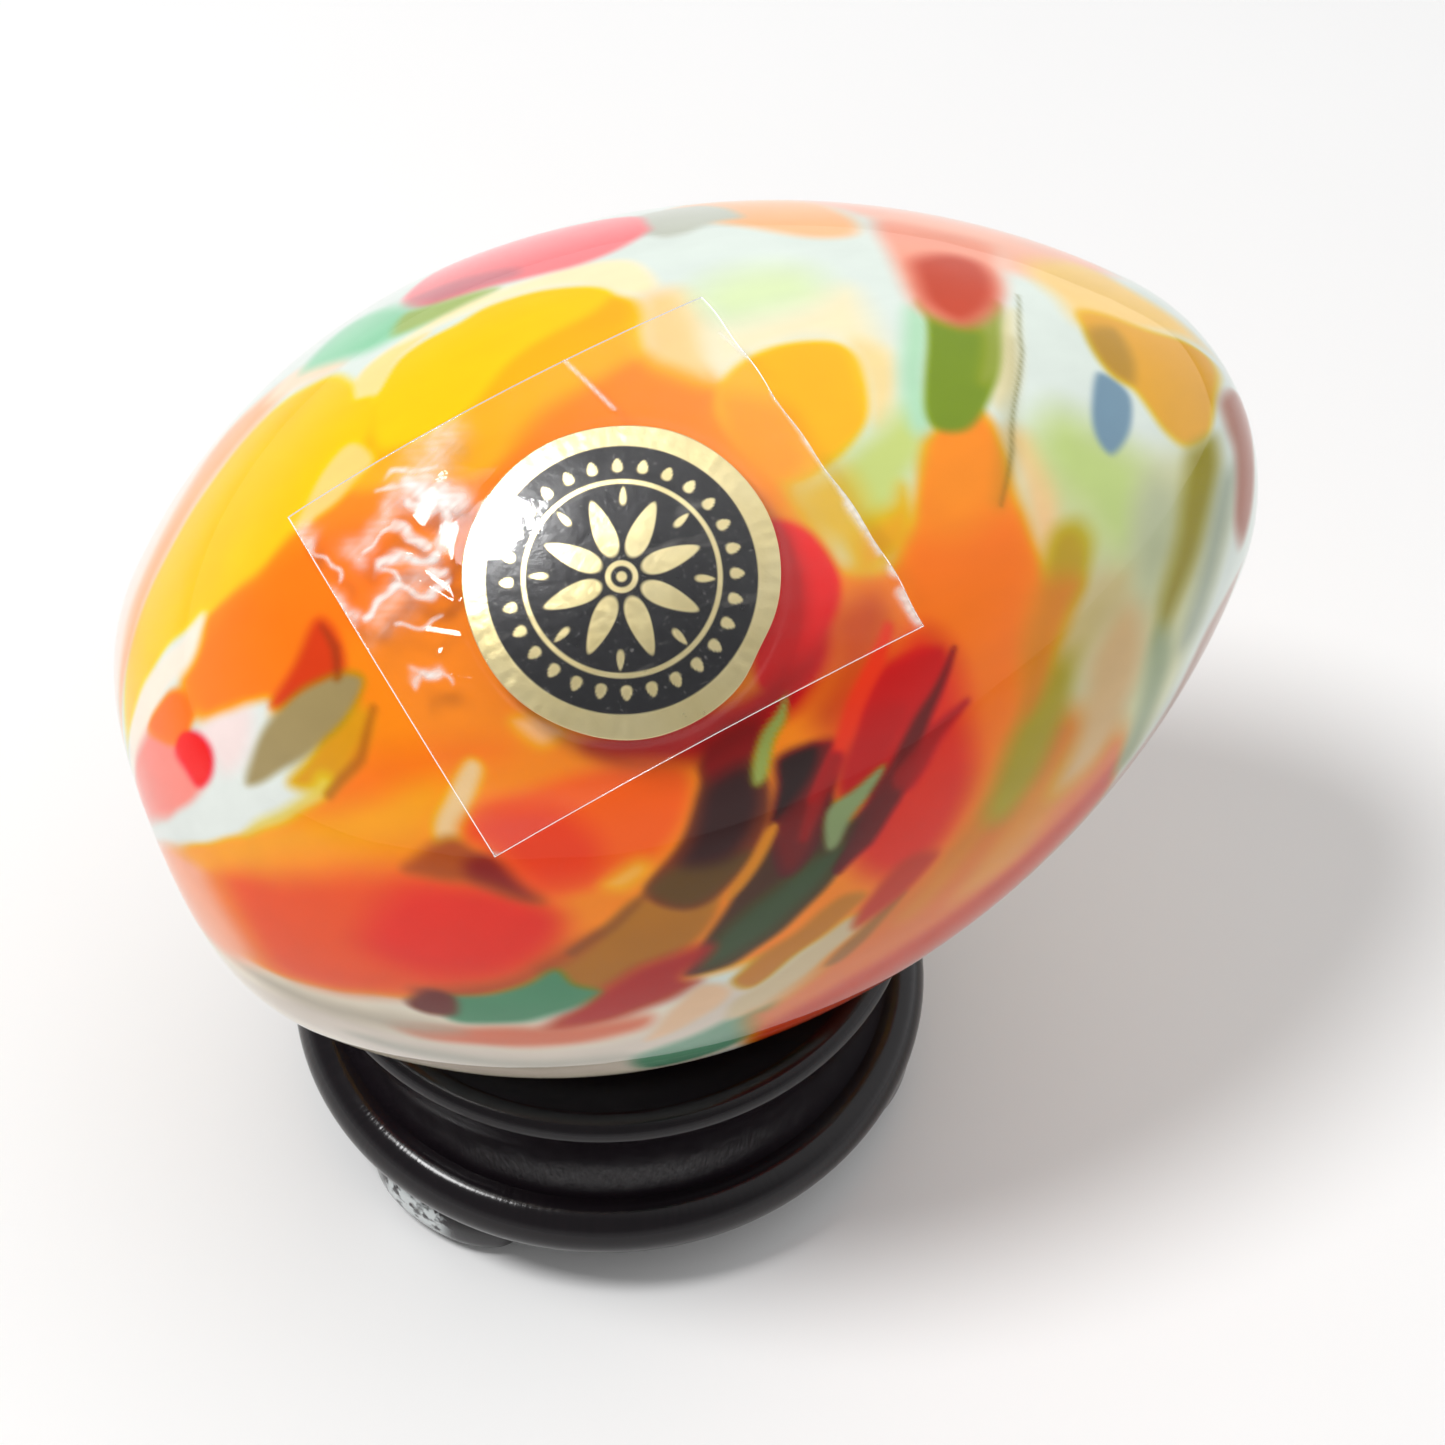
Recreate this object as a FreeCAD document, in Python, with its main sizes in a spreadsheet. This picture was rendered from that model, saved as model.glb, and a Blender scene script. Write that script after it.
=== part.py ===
"""A cased art-glass egg lying on a turned and lacquered stand with three feet.

Frame: millimetres, +Z up. The origin is where the stand's axis meets the shelf.
The egg lies along X, with its nose towards +X and raised a little.
"""

import FreeCAD, Part
import math
import os
import Sketcher

Vector = FreeCAD.Vector
Placement = FreeCAD.Placement
Rotation = FreeCAD.Rotation

# how a sketch names its own origin and axes, and the points of an edge
H_AXIS = -1
V_AXIS = -2
ORIGIN = -1
START = 1
END = 2
CENTRE = 3

# a height below which an edge lies on the shelf
TINY = 1e-6

DIMENSIONS = {
    # the egg's outline: two tangent arcs each side of its widest section
    "egg_radius": 27.25,
    "nose_length": 44.0,
    "nose_cap_radius": 15.3,
    "base_length": 32.0,
    "base_cap_radius": 14.8,
    "base_flat_radius": 5.6,
    # the glass, from the outside in
    "casing_thickness": 2.0,
    "colour_thickness": 0.8,
    # where the egg lies: the centre of its widest section, and how far its nose is raised
    "egg_along": 2.0,
    "egg_aside": 1.1,
    "egg_height": 42.5,
    "nose_rise_angle": 11.0,
    # the round foil label and the tape over it
    "label_radius": 9.2,
    "label_thickness": 0.12,
    "label_station": 0.7,
    "label_turn": 29.0,
    "tape_length": 28.1,
    "tape_width": 24.0,
    "tape_thickness": 0.06,
    "tape_skew": 8.5,
    "tape_shift_along": -0.8,
    "tape_shift_across": 1.5,
    "glue_gap": 0.01,
    "tape_step_clearance": 0.25,
    "tape_step_width": 0.15,
    # the turned base
    "stand_height": 20.0,
    "lip_radius": 20.9,
    "lip_tube_radius": 1.1,
    "dish_radius": 30.0,
    "waist_hollow_radius": 13.0,
    "bead_radius": 21.2,
    "bead_tube_radius": 2.3,
    "bead_end_angle": 100.0,
    # the feet
    "foot_height": 4.2,
    "foot_block_height": 5.3,
    "foot_outer_radius": 23.1,
    "foot_inner_radius": 17.5,
    "foot_half_length": 6.6,
    "foot_edge_radius": 0.8,
}

FOOT_ANGLES = {"foot_1": 215.7, "foot_2": 328.2, "foot_3": 92.2}

doc = FreeCAD.newDocument("glass_egg")


def make_sheet():
    """The spreadsheet that every size is read from."""
    sheet = doc.addObject("Spreadsheet::Sheet", "dims")
    for row, (name, value) in enumerate(DIMENSIONS.items(), start=1):
        sheet.set(f"A{row}", name)
        sheet.set(f"B{row}", str(value))
        sheet.setAlias(f"B{row}", name)
    doc.recompute()
    return sheet


def size(name):
    """A driving dimension, as a number."""
    return float(getattr(sheet, name))


def plane(body, role):
    """One of a body's own origin planes."""
    return next(f for f in body.Origin.OriginFeatures if f.Role == role)


def new_sketch(body, name, role):
    """An empty sketch on one of the body's origin planes."""
    sketch = body.newObject("Sketcher::SketchObject", name)
    sketch.AttachmentSupport = [(plane(body, role), "")]
    sketch.MapMode = "FlatFace"
    return sketch


def arc(centre, radius, start, end):
    """A circular arc in the sketch plane, from angle start to angle end in radians."""
    circle = Part.Circle(Vector(centre[0], centre[1], 0), Vector(0, 0, 1), radius)
    return Part.ArcOfCircle(circle, start, end)


def line(start, end):
    """A straight run in the sketch plane."""
    return Part.LineSegment(Vector(start[0], start[1], 0), Vector(end[0], end[1], 0))


def fix(sketch, kind, where, expression):
    """A dimension of the sketch that follows the spreadsheet."""
    index = sketch.addConstraint(Sketcher.Constraint(kind, *where))
    sketch.setExpression(f"Constraints[{index}]", expression)


def join_ends(sketch, kind, *pairs):
    """Coincident or tangent joins between edge ends, each given as edge, end, edge, end."""
    for pair in pairs:
        sketch.addConstraint(Sketcher.Constraint(kind, *pair))


def revolve(body, sketch, axis, angle=360):
    """The sketch turned about one of its own axes."""
    turned = body.newObject("PartDesign::Revolution", body.Name + "_turned")
    turned.Profile = sketch
    turned.ReferenceAxis = (sketch, [axis])
    turned.Angle = angle
    return turned


# ---------------------------------------------------------------- the egg

def egg_quarter(radius, length, cap_radius, flat_radius):
    """The long side arc's radius, and the angle at which the cap arc takes over from it."""
    rise = radius - flat_radius
    side_radius = (length**2 - 2 * length * cap_radius + rise**2) / (2 * (rise - cap_radius))
    join = math.atan2(flat_radius - (radius - side_radius), length - cap_radius)
    return side_radius, join


def egg_profile(body, name, side, layers):
    """Half the egg's outline above the X axis, inside (side 1) or outside (side -1) by the layers."""
    depth = side * sum(size(layer) for layer in layers)
    inset = f"{side} * (" + (" + ".join("dims." + layer for layer in layers) or "0") + ")"
    radius = size("egg_radius") - depth
    nose = size("nose_length") - depth
    nose_cap = size("nose_cap_radius") - depth
    base = size("base_length") - depth
    base_cap = size("base_cap_radius") - depth
    flat = size("base_flat_radius")
    base_side, base_join = egg_quarter(radius, base, base_cap, flat)
    nose_side, nose_join = egg_quarter(radius, nose, nose_cap, 0)

    sketch = new_sketch(body, name, "XY_Plane")
    flat_line = sketch.addGeometry(line((-base, 0), (-base, flat)))
    base_cap_arc = sketch.addGeometry(
        arc((base_cap - base, flat), base_cap, math.pi - base_join, math.pi))
    base_side_arc = sketch.addGeometry(
        arc((0, radius - base_side), base_side, math.pi / 2, math.pi - base_join))
    nose_side_arc = sketch.addGeometry(
        arc((0, radius - nose_side), nose_side, nose_join, math.pi / 2))
    nose_cap_arc = sketch.addGeometry(arc((nose - nose_cap, 0), nose_cap, 0, nose_join))
    axis_line = sketch.addGeometry(line((nose, 0), (-base, 0)))

    join_ends(
        sketch, "Tangent",
        (flat_line, END, base_cap_arc, END),
        (base_cap_arc, START, base_side_arc, END),
        (base_side_arc, START, nose_side_arc, END),
        (nose_side_arc, START, nose_cap_arc, END),
    )
    join_ends(
        sketch, "Coincident",
        (nose_cap_arc, START, axis_line, START),
        (axis_line, END, flat_line, START),
    )
    join_ends(
        sketch, "PointOnObject",
        (axis_line, START, H_AXIS),
        (axis_line, END, H_AXIS),
        (nose_cap_arc, CENTRE, H_AXIS),
        (base_side_arc, CENTRE, V_AXIS),
        (nose_side_arc, CENTRE, V_AXIS),
    )
    fix(sketch, "DistanceX", (ORIGIN, 1, axis_line, START, nose), f"dims.nose_length - {inset}")
    fix(sketch, "DistanceX", (axis_line, END, ORIGIN, 1, base), f"dims.base_length - {inset}")
    fix(sketch, "DistanceY", (ORIGIN, 1, nose_side_arc, END, radius),
        f"dims.egg_radius - {inset}")
    fix(sketch, "DistanceY", (flat_line, START, flat_line, END, flat), "dims.base_flat_radius")
    fix(sketch, "Radius", (nose_cap_arc, nose_cap), f"dims.nose_cap_radius - {inset}")
    fix(sketch, "Radius", (base_cap_arc, base_cap), f"dims.base_cap_radius - {inset}")
    return sketch


def egg_placement():
    """The egg's own frame: its long axis is X, and Y and Z cross its widest section."""
    centre = Vector(size("egg_along"), size("egg_aside"), size("egg_height"))
    return Placement(centre, Rotation(0, -size("nose_rise_angle"), 0))


def egg_solid(name, side, layers):
    """The egg's outline as a solid, inside or outside the glass surface by the layers."""
    body = doc.addObject("PartDesign::Body", name)
    revolve(body, egg_profile(body, name + "_outline", side, layers), "H_Axis")
    body.Placement = egg_placement()
    doc.recompute()
    return body


def egg_layer(name, outer_layers, inner_layers):
    """One layer of glass all round the egg, hollowed out for what it encloses."""
    body = egg_solid(name, 1, outer_layers)
    whole = body.Shape.Volume
    hollow = body.newObject("PartDesign::Groove", name + "_hollow")
    hollow.Profile = egg_profile(body, name + "_inner_outline", 1, inner_layers)
    hollow.ReferenceAxis = (hollow.Profile[0], ["H_Axis"])
    hollow.Angle = 360
    doc.recompute()
    if body.Shape.Volume > 0.99 * whole:
        raise RuntimeError(f"{name} was not hollowed")
    return body


def make_glass():
    """The opal core, the layer of coloured chips on it, and the clear casing over both."""
    casing = ("casing_thickness",)
    both = ("casing_thickness", "colour_thickness")
    egg_layer("clear_casing", (), casing)
    egg_layer("colour_layer", casing, both)
    egg_solid("opal_core", 1, both)


# ---------------------------------------------------------------- the label and its tape

def label_placement():
    """The frame of the round label: Z stands out of the glass at its centre, X points to the nose."""
    station = Placement(Vector(size("label_station"), 0, 0), Rotation())
    turn = Placement(Vector(), Rotation(Vector(1, 0, 0), size("label_turn")))
    return egg_placement() * station * turn


def label_column(name, radius_expression):
    """A round column through the label's place, for cutting discs out of skins."""
    column = doc.addObject("Part::Cylinder", name)
    column.setExpression("Radius", radius_expression)
    column.setExpression("Height", "dims.egg_radius")
    column.Placement = label_placement() * Placement(Vector(0, 0, size("egg_radius") / 2), Rotation())
    return column


def tape_column():
    """A rectangular column with the outline of the piece of tape."""
    column = doc.addObject("Part::Box", "tape_column")
    column.setExpression("Length", "dims.tape_length")
    column.setExpression("Width", "dims.tape_width")
    column.setExpression("Height", "dims.egg_radius")
    middle = Vector(size("tape_shift_along"), size("tape_shift_across"), size("egg_radius") / 2)
    skew = Placement(middle, Rotation(Vector(0, 0, 1), size("tape_skew")))
    corner = Vector(-size("tape_length") / 2, -size("tape_width") / 2, 0)
    column.Placement = label_placement() * skew * Placement(corner, Rotation())
    return column


def combine(kind, name, base, tool):
    """A boolean of two objects: Part::Cut, Part::Common or Part::Fuse."""
    result = doc.addObject(kind, name)
    result.Base = base
    result.Tool = tool
    return result


def skin(name, outline, outer, inner):
    """The part of an outline column that lies between two egg surfaces."""
    cap = combine("Part::Common", name + "_cap", outer, outline)
    return combine("Part::Cut", name, cap, inner)


def make_label_and_tape():
    """A foil disc on the glass, and a clear tape that lies on the glass and steps up over it."""
    glue = ("glue_gap",)
    foil = ("glue_gap", "label_thickness")
    glass_side = egg_solid("glass_side", -1, glue)
    foil_top = egg_solid("foil_top", -1, foil)
    tape_low = egg_solid("tape_low", -1, glue + ("tape_thickness",))
    tape_under = egg_solid("tape_under", -1, foil + glue)
    tape_high = egg_solid("tape_high", -1, foil + glue + ("tape_thickness",))
    step = "dims.label_radius + dims.tape_step_clearance"
    hole = label_column("tape_hole", step)
    raised = label_column("tape_raised", f"{step} + dims.tape_step_width")

    skin("foil_label", label_column("label_column", "dims.label_radius"), foil_top, glass_side)

    low = combine(
        "Part::Cut", "tape_on_glass",
        skin("tape_low_sheet", tape_column(), tape_low, glass_side), hole)
    high = skin("tape_on_label", raised, tape_high, tape_under)
    riser = combine(
        "Part::Cut", "tape_riser", skin("tape_riser_disc", raised, tape_high, glass_side), hole)
    tape = doc.addObject("Part::MultiFuse", "clear_tape")
    tape.Shapes = [low, high, riser]
    doc.recompute()


# ---------------------------------------------------------------- the stand

def ring_point(radius, height, tube_radius, angle):
    """A point on a round edge whose tube is centred at that radius and height."""
    return radius + tube_radius * math.cos(angle), height + tube_radius * math.sin(angle)


def hollow_arc(top, bottom, radius):
    """The arc between two points that bows towards the stand's axis."""
    middle = ((top[0] + bottom[0]) / 2, (top[1] + bottom[1]) / 2)
    half_chord = math.dist(top, bottom) / 2
    reach = math.sqrt(radius**2 - half_chord**2)
    across = ((top[1] - bottom[1]) / (2 * half_chord), (bottom[0] - top[0]) / (2 * half_chord))
    centre = (middle[0] + reach * across[0], middle[1] + reach * across[1])
    start = math.atan2(top[1] - centre[1], top[0] - centre[0])
    end = math.atan2(bottom[1] - centre[1], bottom[0] - centre[0])
    return arc(centre, radius, start, end % (2 * math.pi))


def make_base():
    """The turned base: a flat underside, a half-round bead, a hollow waist, a lip and a dish."""
    body = doc.addObject("PartDesign::Body", "turned_base")
    sketch = new_sketch(body, "base_outline", "XZ_Plane")
    under = size("foot_height")
    bead, bead_tube = size("bead_radius"), size("bead_tube_radius")
    lip, lip_tube = size("lip_radius"), size("lip_tube_radius")
    dish = size("dish_radius")
    waist_hollow = size("waist_hollow_radius")
    bead_angle = math.radians(size("bead_end_angle"))
    bead_height = under + bead_tube
    bead_top = ring_point(bead, bead_height, bead_tube, bead_angle)
    lip_height = size("stand_height") - lip_tube
    dish_rise = math.sqrt((dish + lip_tube)**2 - lip**2)
    dish_height = lip_height + dish_rise
    dish_angle = math.atan2(dish_rise, -lip)

    underside = sketch.addGeometry(line((0, under), (bead, under)))
    bead_arc = sketch.addGeometry(arc((bead, bead_height), bead_tube, -math.pi / 2, bead_angle))
    waist = sketch.addGeometry(hollow_arc((lip + lip_tube, lip_height), bead_top, waist_hollow))
    lip_arc = sketch.addGeometry(arc((lip, lip_height), lip_tube, 0, dish_angle))
    dish_arc = sketch.addGeometry(
        arc((0, dish_height), dish, -math.pi / 2, dish_angle - math.pi))
    middle_line = sketch.addGeometry(line((0, dish_height - dish), (0, under)))

    join_ends(
        sketch, "Tangent",
        (underside, END, bead_arc, START),
        (lip_arc, END, dish_arc, END),
    )
    join_ends(
        sketch, "Coincident",
        (bead_arc, END, waist, END),
        (waist, START, lip_arc, START),
        (dish_arc, START, middle_line, START),
        (middle_line, END, underside, START),
    )
    join_ends(
        sketch, "PointOnObject",
        (dish_arc, CENTRE, V_AXIS),
        (middle_line, START, V_AXIS),
        (middle_line, END, V_AXIS),
    )
    join_ends(sketch, "Horizontal", (underside,), (lip_arc, CENTRE, lip_arc, START))
    fix(sketch, "DistanceY", (ORIGIN, 1, underside, END, under), "dims.foot_height")
    fix(sketch, "Radius", (bead_arc, bead_tube), "dims.bead_tube_radius")
    fix(sketch, "DistanceX", (ORIGIN, 1, bead_arc, CENTRE, bead), "dims.bead_radius")
    fix(sketch, "DistanceX", (ORIGIN, 1, bead_arc, END, bead_top[0]),
        "dims.bead_radius + dims.bead_tube_radius * cos(dims.bead_end_angle * 1 deg)")
    fix(sketch, "Radius", (lip_arc, lip_tube), "dims.lip_tube_radius")
    fix(sketch, "DistanceX", (ORIGIN, 1, lip_arc, CENTRE, lip), "dims.lip_radius")
    fix(sketch, "DistanceY", (ORIGIN, 1, lip_arc, CENTRE, lip_height),
        "dims.stand_height - dims.lip_tube_radius")
    fix(sketch, "Radius", (dish_arc, dish), "dims.dish_radius")
    fix(sketch, "Radius", (waist, waist_hollow), "dims.waist_hollow_radius")
    revolve(body, sketch, "V_Axis")
    doc.recompute()
    return body


def foot_block(name, degrees):
    """A curved block with round ends, under the bead at that angle."""
    body = doc.addObject("PartDesign::Body", name + "_block")
    sketch = new_sketch(body, name + "_outline", "XY_Plane")
    outer, inner = size("foot_outer_radius"), size("foot_inner_radius")
    cap_radius = (outer - inner) / 2
    middle = (outer + inner) / 2
    rise = size("foot_half_length") - cap_radius
    turn = math.asin(rise / middle)
    reach = middle * math.cos(turn)
    outer_arc = sketch.addGeometry(arc((0, 0), outer, -turn, turn))
    inner_arc = sketch.addGeometry(arc((0, 0), inner, -turn, turn))
    left_cap = sketch.addGeometry(arc((reach, rise), cap_radius, turn, turn + math.pi))
    right_cap = sketch.addGeometry(
        arc((reach, -rise), cap_radius, math.pi - turn, 2 * math.pi - turn))
    join_ends(
        sketch, "Coincident",
        (outer_arc, CENTRE, ORIGIN, 1),
        (inner_arc, CENTRE, ORIGIN, 1),
    )
    join_ends(
        sketch, "Tangent",
        (outer_arc, END, left_cap, START),
        (left_cap, END, inner_arc, END),
        (inner_arc, START, right_cap, START),
        (right_cap, END, outer_arc, START),
    )
    cap_rise = "dims.foot_half_length - (dims.foot_outer_radius - dims.foot_inner_radius) / 2"
    fix(sketch, "Radius", (outer_arc, outer), "dims.foot_outer_radius")
    fix(sketch, "Radius", (inner_arc, inner), "dims.foot_inner_radius")
    fix(sketch, "DistanceY", (ORIGIN, 1, left_cap, CENTRE, rise), cap_rise)
    fix(sketch, "DistanceY", (right_cap, CENTRE, ORIGIN, 1, rise), cap_rise)

    block = body.newObject("PartDesign::Pad", name + "_pad")
    block.Profile = sketch
    block.setExpression("Length", "dims.foot_block_height")
    doc.recompute()
    floor_edges = [
        f"Edge{number}"
        for number, edge in enumerate(block.Shape.Edges, start=1)
        if edge.BoundBox.ZMax < TINY
    ]
    rounding = body.newObject("PartDesign::Fillet", name + "_rounding")
    rounding.Base = (block, floor_edges)
    rounding.setExpression("Radius", "dims.foot_edge_radius")
    body.Placement = Placement(Vector(), Rotation(Vector(0, 0, 1), degrees))
    doc.recompute()
    return body


def make_stand():
    """The base, and the three feet glued up against its underside and its bead."""
    base = make_base()
    for name, degrees in FOOT_ANGLES.items():
        combine("Part::Cut", name, foot_block(name, degrees), base)
    doc.recompute()


# ---------------------------------------------------------------- checks and files

SUBPARTS = [
    "opal_core", "colour_layer", "clear_casing", "foil_label", "clear_tape",
    "turned_base", *FOOT_ANGLES,
]


def check_document():
    """Stops on any object that failed, or any sub-part that isn't a valid solid."""
    for item in doc.Objects:
        if "Invalid" in item.State or "Error" in item.State:
            raise RuntimeError(f"{item.Label} failed: {item.State}")
    for name in SUBPARTS:
        shape = doc.getObject(name).Shape
        if shape.isNull() or not shape.isValid() or len(shape.Solids) != 1:
            raise RuntimeError(f"{name} isn't one valid solid")


def write_parts():
    """One STEP file for each sub-part, named after its node."""
    os.makedirs("parts", exist_ok=True)
    for name in SUBPARTS:
        item = doc.getObject(name)
        item.Label = name
        item.Shape.exportStep(f"parts/{name}.step")
        print(f"{name}: {item.Shape.Volume:.1f} mm3")


sheet = make_sheet()
make_glass()
make_label_and_tape()
make_stand()
check_document()
write_parts()
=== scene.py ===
"""Looks of a cased art-glass egg lying in a turned black stand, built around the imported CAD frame.

The egg is three layers of glass: an opal core, a thin layer of coloured chips and a clear casing.
The chips are painted on the colour layer as soft closed outlines, given by station along the egg
(mm from the widest ring towards the nose) and angle round it (degrees, 0 on top, negative in front).
"""

import math

import bpy
import numpy as np
from mathutils import Matrix, Vector


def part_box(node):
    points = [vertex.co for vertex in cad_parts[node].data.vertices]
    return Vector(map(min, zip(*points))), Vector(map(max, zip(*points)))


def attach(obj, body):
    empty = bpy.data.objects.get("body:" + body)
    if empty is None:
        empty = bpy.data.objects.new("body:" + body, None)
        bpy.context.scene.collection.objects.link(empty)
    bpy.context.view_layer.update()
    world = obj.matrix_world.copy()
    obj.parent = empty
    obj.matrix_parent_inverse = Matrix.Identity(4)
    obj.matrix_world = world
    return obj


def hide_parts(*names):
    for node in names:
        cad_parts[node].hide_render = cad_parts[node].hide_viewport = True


MM = 0.001
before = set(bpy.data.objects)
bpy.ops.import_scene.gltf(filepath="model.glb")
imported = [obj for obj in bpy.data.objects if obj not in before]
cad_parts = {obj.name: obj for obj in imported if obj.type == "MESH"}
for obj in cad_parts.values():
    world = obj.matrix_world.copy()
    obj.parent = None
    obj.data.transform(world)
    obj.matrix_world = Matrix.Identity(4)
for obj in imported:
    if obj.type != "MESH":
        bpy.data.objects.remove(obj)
scene = bpy.context.scene
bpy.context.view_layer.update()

# ---------------------------------------------------------------- egg, in mm
EGG_CENTRE = np.array([2.0, 1.1, 42.5])
NOSE_RISE = math.radians(11)
EGG_RADIUS = 27.25
NOSE_LENGTH, NOSE_CAP, NOSE_FLAT = 44.0, 15.3, 0.0
BASE_LENGTH, BASE_CAP, BASE_FLAT = 32.0, 14.8, 5.6
CASING = 2.0
COLOUR = 0.8
INNER_STEP, INNER_COLUMNS = 1.5, 96
ALONG = np.array([math.cos(NOSE_RISE), 0, math.sin(NOSE_RISE)])
ASIDE = np.array([0.0, 1.0, 0.0])
ABOVE = np.array([-math.sin(NOSE_RISE), 0, math.cos(NOSE_RISE)])

# ---------------------------------------------------------------- shape helpers


def half_profile(length, cap, flat):
    """Centre and radius of the side arc, and the cap arc's centre, for one half of the egg."""
    rise = EGG_RADIUS - flat
    side = (length ** 2 - 2 * length * cap + rise ** 2) / (2 * (rise - cap))
    return EGG_RADIUS - side, side, length - cap


def profile_radius(station, inset=0.0):
    """Radius of the egg's surface at a station, the given depth under the outside."""
    station = np.asarray(station, float)
    out = np.zeros(station.shape)
    for sign, length, cap, flat in (
        (1, NOSE_LENGTH, NOSE_CAP, NOSE_FLAT),
        (-1, BASE_LENGTH, BASE_CAP, BASE_FLAT),
    ):
        centre, side, cap_at = half_profile(length, cap, flat)
        turn = math.atan2(cap_at, flat - centre)
        x = np.abs(station)
        on_side = centre + np.sqrt(np.maximum((side - inset) ** 2 - x ** 2, 0))
        on_cap = flat + np.sqrt(np.maximum((cap - inset) ** 2 - (x - cap_at) ** 2, 0))
        radius = np.where(x < (side - inset) * math.sin(turn), on_side, on_cap)
        radius = np.where(x > length - inset, 0.0, radius)
        out = np.where(station * sign >= 0, radius, out)
    return out


def egg_profile(inset, step):
    """(station, radius) points from the middle of the blunt end to the nose, evenly spaced."""
    points = []
    for sign, length, cap, flat in (
        (-1, BASE_LENGTH, BASE_CAP, BASE_FLAT),
        (1, NOSE_LENGTH, NOSE_CAP, NOSE_FLAT),
    ):
        centre, side, cap_at = half_profile(length, cap, flat)
        turn = math.atan2(cap_at, flat - centre)
        side, cap = side - inset, cap - inset
        angle = np.arange(0, turn, step / side)
        half = [(side * math.sin(a), centre + side * math.cos(a)) for a in angle]
        angle = np.arange(turn, math.pi / 2, step / cap)
        half += [(cap_at + cap * math.sin(a), flat + cap * math.cos(a)) for a in angle]
        half += [(cap_at + cap, r) for r in np.arange(flat, 0, -step)]
        half.append((cap_at + cap, 0.0))
        half = [(sign * x, r) for x, r in half]
        points += half[::-1] if sign < 0 else half[1:]
    return np.array(points)


def egg_point(station, radius, angle):
    """World point, in mm, from a station, a radius and an angle in radians from the top."""
    station, radius, angle = np.broadcast_arrays(station, radius, angle)
    return (
        EGG_CENTRE
        + station[..., None] * ALONG
        + (radius * np.sin(angle))[..., None] * ASIDE
        + (radius * np.cos(angle))[..., None] * ABOVE
    )


def egg_coordinates(point):
    """Station, radius and angle in radians of world points in mm."""
    local = point - EGG_CENTRE
    side, up = local @ ASIDE, local @ ABOVE
    return local @ ALONG, np.hypot(side, up), np.arctan2(side, up)


def new_object(name, points, faces):
    """A smooth-shaded mesh object from points in mm."""
    mesh = bpy.data.meshes.new(name)
    mesh.from_pydata((np.asarray(points) * MM).tolist(), [], faces)
    mesh.polygons.foreach_set("use_smooth", np.ones(len(mesh.polygons), bool))
    mesh.update()
    made = bpy.data.objects.new(name, mesh)
    scene.collection.objects.link(made)
    return made


def ring_faces(first, rows, columns, flip=False):
    """Quads between rows of a closed ring grid whose vertices start at first."""
    grid = first + np.arange(rows * columns).reshape(rows, columns)
    right = np.roll(grid, -1, 1)
    quads = np.stack([grid[:-1], right[:-1], right[1:], grid[1:]], -1).reshape(-1, 4)
    return (quads[:, ::-1] if flip else quads).tolist()


def fan_faces(pole, ring, flip=False):
    """Triangles from a pole vertex to a closed ring."""
    pairs = zip(ring, np.roll(ring, -1))
    return [(pole, b, a) if flip else (pole, a, b) for a, b in pairs]


def revolved_wall(profile, columns, first, flip):
    """Points and faces of a closed surface of revolution round the egg's axis."""
    angles = np.linspace(-math.pi, math.pi, columns, endpoint=False)
    inner = profile[1:-1]
    rows = egg_point(inner[:, 0][:, None], inner[:, 1][:, None], angles[None])
    points = [rows.reshape(-1, 3)]
    points.append(egg_point(profile[0, 0], 0.0, 0.0)[None])
    points.append(egg_point(profile[-1, 0], 0.0, 0.0)[None])
    count = len(inner) * columns
    faces = ring_faces(first, len(inner), columns, not flip)
    low = first + np.arange(columns)
    faces += fan_faces(first + count, low, flip)
    faces += fan_faces(first + count + 1, low + count - columns, not flip)
    return np.concatenate(points), faces


def glass_shell(name, outer, inner, step, columns):
    """A closed shell of the egg between two depths, the inner wall at a coarser spacing."""
    points, faces = revolved_wall(egg_profile(outer, step), columns, 0, False)
    inner_points, inner_faces = revolved_wall(
        egg_profile(inner, INNER_STEP), INNER_COLUMNS, len(points), True
    )
    return new_object(name, np.concatenate([points, inner_points]), faces + inner_faces)


def sheet_faces(rows, columns, flip=False):
    """Quads of an open grid of points."""
    grid = np.arange(rows * columns).reshape(rows, columns)
    quads = np.stack([grid[:-1, :-1], grid[:-1, 1:], grid[1:, 1:], grid[1:, :-1]], -1)
    quads = quads.reshape(-1, 4)
    return (quads[:, ::-1] if flip else quads).tolist()

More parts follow.
